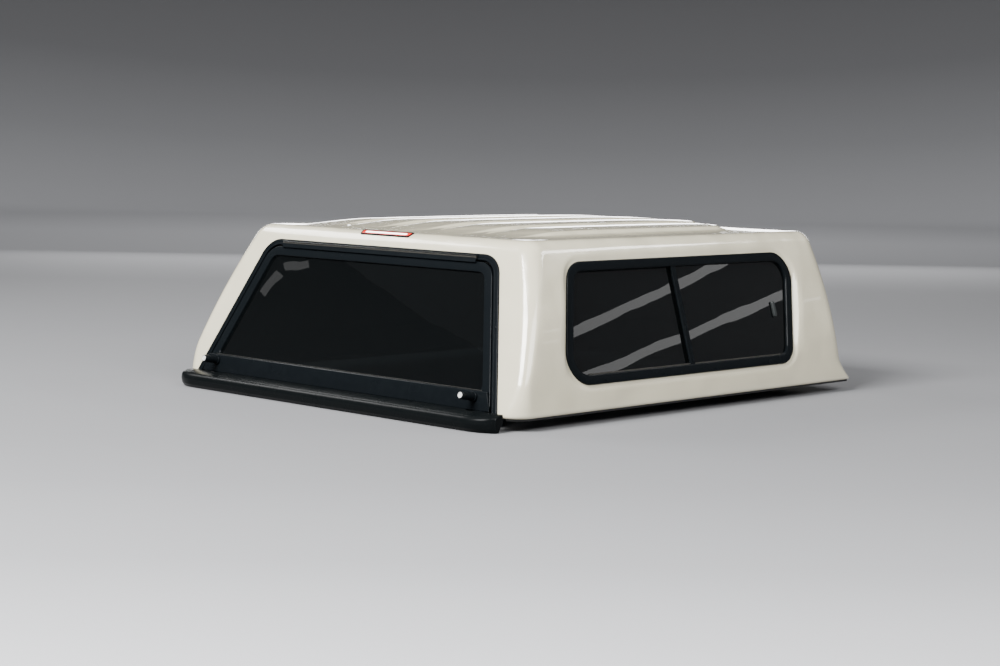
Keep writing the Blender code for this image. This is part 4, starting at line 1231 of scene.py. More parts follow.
@dataclass
class ShellSkin(SubAssembly):
    """The one-piece moulded shell with its strakes, window pads and openings."""

    window: WindowPlan
    door: DoorPlan
    cab: CabPlan
    light: LightPlan
    flange: float = 0.045
    flange_insets: Point = (0.03, 0.018)
    foot_round: float = 0.010
    roof_crown: float = 0.020
    rear_foot: float = 0.075
    rear_low: float = 0.028
    rear_top: float = 0.055
    rear_spread: float = 0.100
    front_foot: float = 0.032
    front_low: float = 0.090
    front_top: float = 0.070
    least_corner: float = 0.012
    strake_margin: float = 0.045
    strake_pitch: float = 0.205
    strake_width: float = 0.163
    strake_bevel: float = 0.012
    strake_height: float = 0.009
    strake_crown: float = 0.0035
    strake_end_radius: float = 0.060
    strake_rear: float = 0.255
    strake_taper: float = 0.26
    strake_front: float = 1.490
    strake_front_curve: float = 1.0
    strake_stations: tuple[float, ...] = (0.0, 0.25, 0.5, 0.75, 1.0, 1.8, 2.8, 4.0, 5.3)
    pad_rim: float = 0.005
    pad_slope: float = 0.016
    opening_lap: float = 0.012
    side_tolerance: float = 0.001
    row_outside: float = 0.004
    row_inside: float = 0.126
    row_counts: tuple[int, ...] = (7, 20, 46, 20, 6)
    level_stops: tuple[float, ...] = (0.050, 0.112, 0.405)
    level_counts: tuple[int, ...] = (5, 11, 21, 10)
    corner_steps: int = 10
    fillet_steps: int = 9
    cut_margin: float = 0.05
    crease: float = 34.0

    def build(self) -> None:
        """Build the shell and cut its openings."""
        data = self.skin_mesh()
        place = self.layout.canopy
        shell = self.shop.add("shell_skin", data, place, Slot.SHELL, Body.CANOPY, ["shell"])
        data.materials.append(self.shop.paint(FLOWCOAT))
        wall = shell.modifiers.new("wall", "SOLIDIFY")
        wall.thickness = self.layout.shell_wall
        wall.offset = -1.0
        wall.use_even_offset = True
        wall.material_offset = 1
        carve(shell, self.opening_tools(), self.crease)

    def corner_radius(self, z: float, foot: float, low: float, top: float, spread: float) -> float:
        """Return the radius of an upright corner, which changes quickly at its foot."""
        return mix(low, top, z / self.layout.roof_height) + (foot - low) * self.layout.fade(z, spread)

    def roof_span(self) -> float:
        """Return half the straight stretch of the roof's rear edge."""
        corner = max(self.rear_top - self.layout.roof_fillet, self.least_corner)
        return self.layout.half_width(self.layout.roof_height) - self.layout.roof_fillet - corner

    def strake_centres(self) -> list[float]:
        """Return the places of the strakes across the roof."""
        count = int(2.0 * (self.roof_span() - self.strake_margin) / self.strake_pitch)
        return [(number - (count - 1) / 2.0) * self.strake_pitch for number in range(count)]

    def columns(self) -> list[float]:
        """Return the x stations across the roof, close together at the strakes' edges.

        Returns:
            The stations from left to right.
        """
        half = self.strake_width / 2.0
        offsets = [share * self.strake_bevel for share in self.strake_stations]
        places = [-self.roof_span()]
        for centre in self.strake_centres():
            places += [centre - half + offset for offset in offsets]
            places += [centre]
            places += [centre + half - offset for offset in reversed(offsets)]
        return [*places, self.roof_span()]

    def rows(self, z: float, rear_end: float, front_end: float) -> list[float]:
        """Return the y stations along a side at a height, close together at the window's ends.

        Args:
            z: The height.
            rear_end: Where the side starts.
            front_end: Where the side ends.

        Returns:
            The stations, always the same number of them.
        """
        rear = self.window.rear + self.window.lean * (z - self.window.bottom)
        front = rear + self.window.length
        outside, inside = self.pad_rim + self.pad_slope + self.row_outside, self.row_inside
        stops = [rear_end, rear - outside, rear + inside, front - inside, front + outside, front_end]
        return stations(stops, self.row_counts)

    def levels(self) -> list[Point]:
        """Return the (z, inset) pairs of the rings from the flange to the roof's edge.

        Returns:
            The pairs from the inner edge of the flange upwards.
        """
        foot, fillet = self.foot_round, self.layout.roof_fillet
        brow = self.layout.roof_height - fillet
        levels = [(0.0, inset) for inset in (self.flange, *self.flange_insets)]
        levels += [(foot * (1.0 - math.cos(t)), foot * (1.0 - math.sin(t))) for t in quarter()]
        heights = stations([foot, *self.level_stops, brow], self.level_counts)
        levels += [(height, 0.0) for height in heights[1:]]
        for turn in quarter(self.fillet_steps)[1:]:
            levels.append((brow + fillet * math.sin(turn), fillet * (1.0 - math.cos(turn))))
        return levels

    def arc(self, centre: Point, radius: float, start: float) -> list[Point]:
        """Return the inner points of a quarter turn that starts at an angle in degrees."""
        turns = [math.radians(start + 90.0 * n / self.corner_steps) for n in range(1, self.corner_steps)]
        return [(centre[0] + radius * math.cos(t), centre[1] + radius * math.sin(t)) for t in turns]

    def ring(self, z: float, inset: float) -> np.ndarray:
        """Return the plan outline at a height, counterclockwise from the rear left.

        Args:
            z: The height.
            inset: The distance that the ring is set in.

        Returns:
            The ring's points as rows of x, y and z.
        """
        half = self.layout.half_width(z) - inset
        rear = self.layout.rear_y(z) + inset
        front = self.layout.front_y(z) - inset
        rear_sizes = self.rear_foot, self.rear_low, self.rear_top, self.rear_spread
        front_sizes = self.front_foot, self.front_low, self.front_top, self.layout.front_flare_height
        back = max(self.corner_radius(z, *rear_sizes) - inset, self.least_corner)
        fore = max(self.corner_radius(z, *front_sizes) - inset, self.least_corner)
        across = [x / self.roof_span() for x in self.columns()]
        side = self.rows(z, rear + back, front - fore)
        points = [(share * (half - back), rear) for share in across]
        points += self.arc((half - back, rear + back), back, -90.0)
        points += [(half, y) for y in side]
        points += self.arc((half - fore, front - fore), fore, 0.0)
        points += [(share * (half - fore), front) for share in reversed(across)]
        points += self.arc((-half + fore, front - fore), fore, 90.0)
        points += [(-half, y) for y in reversed(side)]
        points += self.arc((-half + back, rear + back), back, 180.0)
        return np.array([(x, y, z) for x, y in points])

    def press_pads(self, rings: np.ndarray) -> None:
        """Press the flat window pads into the sides.

        Args:
            rings: The rings' points, which are changed in place.
        """
        along, up = self.window.middle
        x, y, z = rings[..., 0], rings[..., 1], rings[..., 2]
        height = (z - up) / math.cos(self.window.tilt)
        distance = outline_distance(y - along, height, self.window.outline.at(0.0))
        share = 1.0 - smooth((distance - self.pad_rim) / self.pad_slope)
        on_side = np.abs(x) > self.layout.half_width(z) - self.side_tolerance
        pressed = np.abs(x) + (self.window.pad_half_width(z) - np.abs(x)) * share
        rings[..., 0] = np.where(on_side, np.sign(x) * pressed, x)

    def rim_sides(self, rim: np.ndarray) -> tuple[np.ndarray, ...]:
        """Cut the top ring into four sides that meet half way round its corners.

        Args:
            rim: The ring's points or their numbers.

        Returns:
            The rear, right, front and left side, which run to the right or to the front.
        """
        half_corner = self.corner_steps // 2
        across = len(self.columns()) + 2 * half_corner - 1
        along = len(self.rows(0.0, 0.0, 1.0)) + 2 * half_corner - 1
        turned = rim[np.arange(len(rim) + 1) - half_corner]
        rear, right = turned[: across + 1], turned[across : across + along + 1]
        front, left = turned[across + along : 2 * across + along + 1], turned[2 * across + along :]
        return rear, right, front[::-1], left[::-1]

    def roof(self, rim: np.ndarray) -> np.ndarray:
        """Return the roof's grid of points inside its rim.

        Args:
            rim: The top ring.

        Returns:
            Points by row and column; the outermost are the rim's own.
        """
        rear, right, front, left = self.rim_sides(rim)
        u = np.linspace(0.0, 1.0, len(rear))[None, :, None]
        v = np.linspace(0.0, 1.0, len(right))[:, None, None]
        sides = left[:, None] * (1 - u) + right[:, None] * u
        ends = rear[None] * (1 - v) + front[None] * v
        low = rear[0] * (1 - u) + rear[-1] * u
        high = front[0] * (1 - u) + front[-1] * u
        grid = sides + ends - (low * (1 - v) + high * v)
        grid[:, 0], grid[:, -1], grid[0], grid[-1] = left, right, rear, front
        span_x = right[:, None, 0] - left[:, None, 0]
        span_y = front[None, :, 1] - rear[None, :, 1]
        side = 2.0 * (grid[..., 0] - left[:, None, 0]) / span_x - 1.0
        length = 2.0 * (grid[..., 1] - rear[None, :, 1]) / span_y - 1.0
        crown = self.roof_crown * (1.0 - side**2) * (1.0 - length**4)
        across = np.pad(self.columns(), self.corner_steps // 2, mode="edge")
        height = crown + self.strake_heights(across[None, :], grid[..., 1])
        height[[0, -1]] = 0.0
        height[:, [0, -1]] = 0.0
        grid[..., 2] = self.layout.roof_height + height
        return grid

    def strake_heights(self, across: np.ndarray, along: np.ndarray) -> np.ndarray:
        """Return the strakes' height over the roof.

        Args:
            across: The points' places across the roof.
            along: Their places along it.

        Returns:
            One height for each point.
        """
        rise = np.zeros(np.broadcast(across, along).shape)
        radius = self.strake_end_radius
        half = self.strake_width / 2.0
        for centre in self.strake_centres():
            front = self.strake_front - self.strake_front_curve * centre**2
            middle = (self.strake_rear + front) / 2.0
            gap_x = np.abs(across - centre) - half + radius
            gap_y = np.abs(along - middle) - (front - self.strake_rear) / 2.0 + radius
            outside = np.hypot(np.maximum(gap_x, 0.0), np.maximum(gap_y, 0.0))
            distance = outside + np.minimum(np.maximum(gap_x, gap_y), 0.0) - radius
            crown = self.strake_crown * (1.0 - np.minimum(np.abs(across - centre) / half, 1.0) ** 2)
            strake = (self.strake_height + crown) * smooth(-distance / self.strake_bevel)
            rise = np.maximum(rise, strake)
        return rise * smooth((along - self.strake_rear) / self.strake_taper)

    def skin_mesh(self) -> bpy.types.Mesh:
        """Build the outer skin from the flange over the walls to the roof.

        Returns:
            The mesh.
        """
        rings = np.array([self.ring(z, inset) for z, inset in self.levels()])
        self.press_pads(rings)
        grid = self.roof(rings[-1])
        inner = grid[1:-1, 1:-1]
        walls = np.arange(rings[..., 0].size).reshape(rings.shape[:2])
        roof = np.empty(grid.shape[:2], dtype=int)
        roof[1:-1, 1:-1] = walls.size + np.arange(inner[..., 0].size).reshape(inner.shape[:2])
        roof[0], roof[:, -1], roof[-1], roof[:, 0] = self.rim_sides(walls[-1])
        faces = quads(np.hstack([walls, walls[:, :1]]).tolist()) + quads(roof.tolist())
        data = bpy.data.meshes.new("shell_skin")
        data.from_pydata([*rings.reshape(-1, 3).tolist(), *inner.reshape(-1, 3).tolist()], [], faces)
        return data

    def opening_tools(self) -> list[bpy.types.Object]:
        """Make the solids that cut the door, the windows and the light's recess.

        Returns:
            The tools.
        """
        pane, deep = self.window.outline.at(self.opening_lap), self.cut_margin
        cab, light = self.cab.outline.at(self.opening_lap), self.light.outline.at(0.0)
        edge = self.door.surround.at(self.door.overlap)
        slope = (self.door.foot - self.door.head) / self.door.top
        x, z = edge[0][0] + deep * slope, edge[0][1] - deep
        rear = [(x, z), *edge[1:-1], (-x, z)]
        tools = []
        for side in Side:
            bm = mirrored(prism(pane, deep, -deep), side)
            tools.append(cutter(f"window_{side.word}", bm, self.window.place(side)))
        for name, outline, place in (
            ("cab", cab, self.cab.place),
            ("light", light, self.light.place),
            ("door", rear, self.layout.rear_face),
        ):
            tools.append(cutter(name, prism(outline, deep, -deep), place))
        return tools


# Rear door


@dataclass
class DoorSurround(SubAssembly):
    """The black frame that is fixed round the rear opening, with its seal and screws."""

    plan: DoorPlan
    edge: float = 0.0022
    groove_inset: float = 0.0125
    groove_width: float = 0.0016
    groove_depth: float = 0.0010
    seal_bulb: float = 0.0045
    seal_stretch: float = 1.5
    seal_steps: int = 14
    seal_crease: float = 60.0
    screw_diameter: float = 0.0085
    screw_height: float = 0.0022
    screw_rim: float = 0.3
    screw_inset: float = 0.0075
    screw_up: float = 0.265
    screw_steps: int = 24
    dome_steps: int = 6
    screw_crease: float = 50.0

    def build(self) -> None:
        """Build the surround, its seal and its screws."""
        plan, touch, place = self.plan, self.layout.touch, self.layout.rear_face
        near, far = self.groove_inset, self.groove_inset + self.groove_width
        floor = plan.proud - self.groove_depth
        inner = plan.overlap + self.layout.slide
        rows = [
            (0.0, touch, 0.0),
            (0.0, plan.proud, self.edge),
            (near, plan.proud, 0.0004),
            (near, floor, 0.0003),
            (far, floor, 0.0003),
            (far, plan.proud, 0.0004),
            (plan.band, plan.proud, 0.0012),
            (plan.band, -plan.inward, 0.0004),
            (inner, -plan.inward, 0.0004),
            (inner, touch, 0.0),
        ]
        bm = sweep(rounded(rows, 4), plan.surround.at, False)
        self.shop.add("door_surround_frame", bm, place, Slot.FRAME, Body.CANOPY, ["door_surround"])

        bulb = self.seal_bulb / 2.0
        middle = plan.band + touch + bulb
        ring = circle(bulb, self.seal_steps)
        arc = [(middle + x, -plan.inward + z * self.seal_stretch) for x, z in ring]
        bm = sweep(arc, plan.surround.at, False)
        rubber = Slot.RUBBER, Body.CANOPY, ["door_seal"]
        self.shop.add("door_seal_bulb", bm, place, *rubber, crease=self.seal_crease)
        self.add_screws()

    def add_screws(self) -> None:
        """Add the round-headed screws in the surround's uprights."""
        radius = self.screw_diameter / 2.0
        low = self.plan.proud + self.layout.touch
        rim, dome = self.screw_rim * self.screw_height, (1.0 - self.screw_rim) * self.screw_height
        profile = [(radius, low)]
        for turn in quarter(self.dome_steps)[:-1]:
            profile.append((radius * math.cos(turn), low + rim + dome * math.sin(turn)))
        across = mix(self.plan.foot, self.plan.head, self.screw_up / self.plan.top) - self.screw_inset
        for side in Side:
            spot = Matrix.Translation((side.value * across, 0.0, self.screw_up))
            place = self.layout.rear_face @ spot
            name = f"surround_screw_{side.word}"
            bm = lathe(profile, self.screw_steps)
            self.shop.add(name, bm, place, Slot.FRAME, Body.CANOPY, crease=self.screw_crease)


@dataclass
class RearDoor(SubAssembly):
    """The door leaf's frame, lower panel and glass trim."""

    plan: DoorPlan
    edge: float = 0.0020
    inner_edge: float = 0.0030
    panel_edge: float = 0.0040
    panel_foot_edge: float = 0.0015
    trim_height: float = 0.004
    trim_proud: float = 0.003
    lock_x: float = 0.602
    lock_up: float = 0.050
    lock_bore: float = 0.0115
    bore_ends: Point = (0.02, -0.05)
    bore_steps: int = 32

    def build(self) -> None:
        """Build the leaf's frame, panel and trim."""
        plan = self.plan
        rebate = -plan.leaf_back + plan.glass_thickness + self.layout.touch
        lap = plan.leaf_band - plan.glass_lap
        rows = [
            (0.0, -plan.leaf_back, FINE_EDGE),
            (0.0, plan.proud, self.edge),
            (plan.leaf_band, plan.proud, self.inner_edge),
            (plan.leaf_band, rebate, 0.0),
            (lap, rebate, 0.0),
            (lap, -plan.leaf_back, FINE_EDGE),
        ]
        frame = self.add("door_frame_leaf", sweep(rounded(rows, 5), plan.leaf_at), "door_frame")
        panel = self.add("door_panel_face", self.panel(), "door_lower_panel")
        for piece in (frame, panel):
            carve(piece, [self.bore(side) for side in Side], CREASE)
        place = self.layout.rear_face
        trim = Slot.ALUMINIUM, Body.DOOR, ["glass_trim"], TRIM_METAL
        self.shop.add("glass_trim_strip", self.trim(), place, *trim)

    def add(self, name: str, bm: bmesh.types.BMesh, node: str) -> bpy.types.Object:
        """Add a black piece of the door that stands for a node."""
        return self.shop.add(name, bm, self.layout.rear_face, Slot.FRAME, Body.DOOR, [node])

    def bore(self, side: Side) -> bpy.types.Object:
        """Make the tool that bores the door for a lock's shaft."""
        profile = [(self.lock_bore / 2.0, out) for out in self.bore_ends]
        return cutter(f"bore_{side.word}", lathe(profile, self.bore_steps), self.lock_place(side))

    def lock_place(self, side: Side) -> Matrix:
        """Return a lock's frame on the lower panel's face.

        Args:
            side: The lock's side.

        Returns:
            The world matrix.
        """
        out = self.plan.panel_out(self.lock_up)
        spot = Matrix.Translation((side.value * self.lock_x, -out, self.lock_up))
        tilt = self.layout.rear_rake - self.plan.panel_rake
        return self.layout.rear_face @ spot @ Matrix.Rotation(tilt, 4, "X")

    def panel(self) -> bmesh.types.BMesh:
        """Make the raked lower panel that carries the locks, with rounded ends.

        Returns:
            The mesh.
        """
        plan = self.plan
        low = plan.leaf_bottom + plan.panel_margin
        high = plan.leaf_bottom + plan.bottom_rail
        back = plan.proud + self.layout.touch
        rows = [
            (back, low, FINE_EDGE),
            (plan.panel_out(low), low, self.panel_foot_edge),
            (plan.panel_out(high), high, self.panel_edge),
            (back, high, FINE_EDGE),
        ]
        profile = rounded(rows, 5)
        halves = [plan.leaf_half_width(up) - plan.panel_margin for _, up in profile]
        sections = []
        for side, turns in ((-1.0, quarter()), (1.0, quarter()[::-1])):
            for turn in turns:
                inset, trim = self.edge * (1.0 - math.sin(turn)), self.edge * (1.0 - math.cos(turn))
                points = zip(halves, profile)
                sections.append([(side * (h - trim), -max(back, out - inset), up) for h, (out, up) in points])
        return loft(sections)

    def trim(self) -> bmesh.types.BMesh:
        """Make the thin trim between the glass and the lower panel.

        Returns:
            The mesh.
        """
        plan = self.plan
        low = plan.leaf_bottom + plan.bottom_rail + self.layout.touch
        high = low + self.trim_height
        back = plan.proud + self.layout.touch
        front = back + self.trim_proud
        rows = [(back, low, 0.0), (front, low, 0.0008), (front, high, 0.0014), (back, high, 0.0)]
        sections = []
        for side in (-1.0, 1.0):
            halves = [(plan.leaf_half_width(up) - plan.leaf_band, out, up) for out, up in rounded(rows, 4)]
            sections.append([(side * half, -out, up) for half, out, up in halves])
        return loft(sections)


@dataclass
class DoorHinge(SubAssembly):
    """The full-length hinge: a channel on the surround and a rod on the door."""

    plan: DoorPlan
    half_length: float = 0.450
    rod: float = 0.0035
    bore: float = 0.0041
    channel: float = 0.0056
    plate: float = 0.003
    wing: float = 0.0105
    foot: float = 0.0045
    rise: float = 0.0062
    opening: float = math.radians(78.0)
    slot_margin: float = math.radians(30.0)
    lead_steps: int = 16
    back_steps: int = 12
    round_steps: int = 30

    @property
    def up(self) -> float:
        """Return how far up the rear face the hinge's axis is."""
        return self.plan.top - self.plan.band + self.rise

    @property
    def place(self) -> Matrix:
        """Return the hinge's frame."""
        out = self.plan.proud + self.layout.touch + self.channel
        return self.layout.rear_face @ Matrix.Translation((0.0, -out, self.up))

    @staticmethod
    def arc(radius: float, start: float, end: float, steps: int) -> list[Point]:
        """Return points of an arc about the hinge axis as (out, up)."""
        turns = [mix(start, end, step / steps) for step in range(steps + 1)]
        return [(radius * math.cos(turn), radius * math.sin(turn)) for turn in turns]

    def add(
        self, name: str, profile: Sequence[Point], slot: Slot, body: Body, *more: object
    ) -> bpy.types.Object:
        """Add a piece that runs an (out, up) profile along the hinge.

        Args:
            name: The piece's name.
            profile: The profile's points.
            slot: The record's material slot.
            body: The body that it moves with.
            more: The CAD nodes that it stands for and its finish, where it has them.

        Returns:
            The piece.
        """
        ends = (-self.half_length, self.half_length)
        bm = loft([[(x, -out, up) for out, up in profile] for x in ends])
        return self.shop.add(name, bm, self.place, slot, body, *more)

    def build(self) -> None:
        """Build both halves of the hinge."""
        half = self.plate / 2.0
        slot_out = -math.pi / 2.0 + self.opening + self.slot_margin
        slot_in = 1.5 * math.pi - self.slot_margin
        front = self.plate - self.channel
        channel = self.arc(self.channel, slot_out, math.acos(front / self.channel), self.lead_steps)
        channel += [(front, self.wing), (-self.channel, self.wing)]
        channel += self.arc(self.channel, math.pi, slot_in, self.back_steps)
        channel += self.arc(self.bore, slot_in, slot_out, self.round_steps)
        rail = self.add("hinge_channel", channel, Slot.FRAME, Body.CANOPY, ["hinge_rail"])

        neck = math.asin(half / self.rod)
        up = self.plan.leaf_top - self.up - self.layout.touch
        back = -self.channel
        rod = self.arc(self.rod, -math.pi / 2.0 + neck, 1.5 * math.pi - neck, self.round_steps)
        self.add("hinge_rod", rod, Slot.ALUMINIUM, Body.DOOR)
        reach = self.rod * math.cos(neck)
        plate = [(half, -reach), (-half, -reach), (-half, up), (back, up)]
        plate += [(back, up - self.foot), (half, up - self.foot)]
        dress = Slot.ALUMINIUM, Body.DOOR, ["hinge_leaf"], POWDER_COAT
        leaf = self.add("hinge_leaf_plate", plate, *dress)
        for piece in (rail, leaf):
            soften(piece, FINE_EDGE)


@dataclass
class RearLip(SubAssembly):
    """The moulded lip that laps over the tailgate, scooped out under each lock."""

    top: float = 0.0145
    half_width: float = 0.734
    end_round: float = 0.100
    end_reach: float = 0.32
    end_edge: float = 0.0030
    end_turn: float = 6.0
    end_steps: int = 15
    straight: float = 0.3
    tongue: float = 0.018
    tongue_top: float = 0.004
    foot_set: float = 0.010
    tongue_end: float = 0.002
    tongue_half_width: float = 0.650
    clearance: float = 0.006
    scoop_diameter: float = 0.046
    scoop_reach: float = 0.016
    scoop_depth: float = 0.009
    scoop_power: float = 0.6
    scoop_steps: int = 9
    scoop_x: float = 0.602
    crease: float = 30.0
    soft_edge: float = 0.0008

    def section(self, x: float) -> list[Point]:
        """Return the (y, z) cross-section at a place across the canopy.

        Args:
            x: The place.

        Returns:
            The section's points.
        """
        past = max(0.0, abs(x) - (self.half_width - self.end_round)) / self.end_round
        drop = self.layout.lip_drop
        share = mix(self.end_reach, 1.0, math.sqrt(max(0.0, 1.0 - past**2)))
        reach = self.layout.lip_reach * share
        tongue, inner, foot = -self.clearance, -self.clearance, -self.clearance - self.foot_set
        if abs(x) <= self.tongue_half_width:
            tongue, inner, foot = self.tongue, -self.clearance / 2.0, -self.foot_set
        low = self.tongue_top - self.tongue
        rows = [
            (tongue, self.tongue_top, 0.0006),
            (tongue, low, 0.0006),
            (foot, low - self.foot_set, 0.004),
            (-0.60 * reach, -drop, 0.012),
            (-0.79 * reach, -drop, 0.006),
            (-0.94 * reach, -0.70 * drop, 0.0022),
            (-1.00 * reach, -0.32 * drop, 0.020),
            (-0.97 * reach, 0.001, 0.020),
            (-0.84 * reach, self.top - 0.006, 0.030),
            (-0.45 * reach, self.top - 0.001, 0.090),
            (inner, self.top, 0.0018),
            (inner, self.tongue_top, 0.0005),
        ]
        return [tuple(point) for point in rounded(rows, 5)]

    def build(self) -> None:
        """Build the lip and scoop it out under the locks."""
        start, end = self.half_width - self.end_round, self.half_width - self.end_edge
        places = [0.0, self.straight, self.tongue_half_width, self.tongue_half_width + self.tongue_end, start]
        for number in range(1, self.end_steps):
            places.append(start + self.end_round * math.sin(math.radians(self.end_turn * number)))
        places = [*sorted(place for place in places if place < end), end]
        body = [[(x, y, z) for y, z in self.section(x)] for x in places]
        last = self.section(end)
        centre = np.mean(np.array(last), axis=0)
        for turn in quarter()[1:]:
            x = self.half_width - self.end_edge * (1.0 - math.sin(turn))
            inset = self.end_edge * (1.0 - math.cos(turn))
            body.append([(x, *self.pulled(point, centre, inset)) for point in last])
        left = [[(-x, y, z) for x, y, z in section] for section in reversed(body[1:])]
        dress = Slot.LIP, Body.DOOR, ["rear_lip"]
        place, bm = self.layout.canopy, loft(left + body)
        lip = self.shop.add("rear_lip_moulding", bm, place, *dress, crease=self.crease)
        carve(lip, [self.scoop(side) for side in Side], self.crease)
        soften(lip, self.soft_edge, 3)

    @staticmethod
    def pulled(point: Point, centre: np.ndarray, distance: float) -> Point:
        """Return a point moved towards a centre.

        Args:
            point: The point.
            centre: The centre.
            distance: How far it moves.

        Returns:
            The moved point.
        """
        gap = np.array(point) - centre
        moved = centre + gap * max(0.0, 1.0 - distance / float(np.hypot(*gap)))
        return float(moved[0]), float(moved[1])

    def scoop(self, side: Side) -> bpy.types.Object:
        """Make the bowl-shaped tool that clears the lip under a lock.

        Args:
            side: The lock's side.

        Returns:
            The tool.
        """
        radius, depth = self.scoop_diameter / 2.0, self.scoop_depth
        turns = quarter(self.scoop_steps)[1:-1]
        bowl = [(radius * math.sin(t), -depth * math.cos(t) ** self.scoop_power) for t in turns]
        y = radius - self.scoop_reach - self.clearance / 2.0
        spot = Matrix.Translation((side.value * self.scoop_x, y, self.top))
        place = self.layout.canopy @ spot @ Matrix.Rotation(math.radians(-90.0), 4, "X")
        return cutter(f"scoop_{side.word}", lathe([*bowl, (radius, 0.0), (radius, depth)]), place)


@dataclass
class BarrelLock(SubAssembly):
    """One of the two barrel locks on the lower panel."""

    plan: DoorPlan
    door: RearDoor
    side: Side
    diameter: float = 0.024
    length: float = 0.056
    front: tuple[Point, ...] = (
        (0.0, 0.0110), (0.0006, 0.0104), (0.0006, 0.0094), (0.0, 0.0088), (0.0, 0.0020),
        (0.0006, 0.0006), (0.0020, 0.0),
    )
    collar_diameter: float = 0.031
    collar_length: float = 0.007
    shaft: float = 0.010
    face_diameter: float = 0.017
    face_length: float = 0.0015
    face_rim: float = 0.0005
    face_rim_width: float = 0.0018
    cam_standoff: float = 0.003
    slot_length: float = 0.0085
    slot_width: float = 0.0018
    slot_depth: float = 0.0010
    steps: int = 56
    crease: float = 34.0

    def add(
        self, name: str, bm: bmesh.types.BMesh, node: str, slot: Slot = Slot.FRAME, crease: float = CREASE
    ) -> bpy.types.Object:
        """Add a piece of this lock.

        Args:
            name: The piece's name without its side.
            bm: Its construction.
            node: The name of the CAD node without its side.
            slot: The record's material slot.
            crease: The angle in degrees from which an edge stays sharp.

        Returns:
            The piece.
        """
        word, place = self.side.word, self.door.lock_place(self.side)
        dress = slot, self.side.lock_body, [f"{node}_{word}"]
        return self.shop.add(f"{name}_{word}", bm, place, *dress, crease=crease)

    def build(self) -> None:
        """Build the barrel, its collar and its key face."""
        seat, radius, shaft = self.layout.touch, self.diameter / 2.0, self.shaft / 2.0
        depth = self.plan.panel_out(self.door.lock_up) + self.plan.leaf_back + self.cam_standoff
        barrel = [(shaft, -depth), (shaft, seat), (radius, seat)]
        barrel += [(radius - cut, self.length - back) for cut, back in self.front]
        self.add("lock_body", lathe(barrel, self.steps), "lock_barrel", crease=self.crease)

        inner = radius + self.layout.slide
        outer = self.collar_diameter / 2.0
        top = seat + self.collar_length
        rows = [(outer, top, 0.0024), (outer, seat, 0.0003), (inner, seat, 0.0003), (inner, top, 0.0008)]
        ring = sweep(rounded(rows, 5), lambda reach: circle(reach, self.steps))
        self.add("lock_ring", ring, "lock_collar")
        self.add_face()

    def add_face(self) -> None:
        """Add the bright key face with its slot."""
        tip, radius, rim = self.length + self.layout.touch, self.face_diameter / 2.0, self.face_rim
        end = tip + self.face_length
        floor, well = end - FINE_EDGE, radius - self.face_rim_width
        profile = [(radius, tip), (radius, end - rim), (radius - rim, end), (well, end)]
        profile += [(well - FINE_EDGE, floor), (rim, floor)]
        face = self.add("key_face", lathe(profile), "lock_key_face", Slot.CHROME, self.crease)
        half, wide = self.slot_length / 2.0, self.slot_width / 2.0
        outline = round_polygon(box(0.0, 0.0, wide, half), [wide * NEARLY_ROUND] * 4, 4)
        slot = prism(outline, end + 2.0 * self.slot_depth, end - self.slot_depth)
        carve(face, [cutter("key_slot", slot, self.door.lock_place(self.side))], self.crease)


# Windows


@dataclass
class BondedWindow(SubAssembly):
    """A window whose frame laps over the shell all round its opening."""

    plan: WindowPlan | CabPlan
    proud: float = 0.0065
    back: float = 0.014
    lap: float = 0.012

    def frame(self, band: float) -> bmesh.types.BMesh:
        """Make the window's frame.

        Args:
            band: The width of its face.

        Returns:
            The mesh.
        """
        inner = self.lap + self.layout.slide
        rows = [
            (0.0, self.layout.touch, 0.0003),
            (0.0, self.proud, 0.0030),
            (band, self.proud, 0.0040),
            (band, -self.back, 0.0006),
            (inner, -self.back, FINE_EDGE),
            (inner, self.layout.touch, 0.0),
        ]
        return sweep(rounded(rows, 5), self.plan.outline.at)


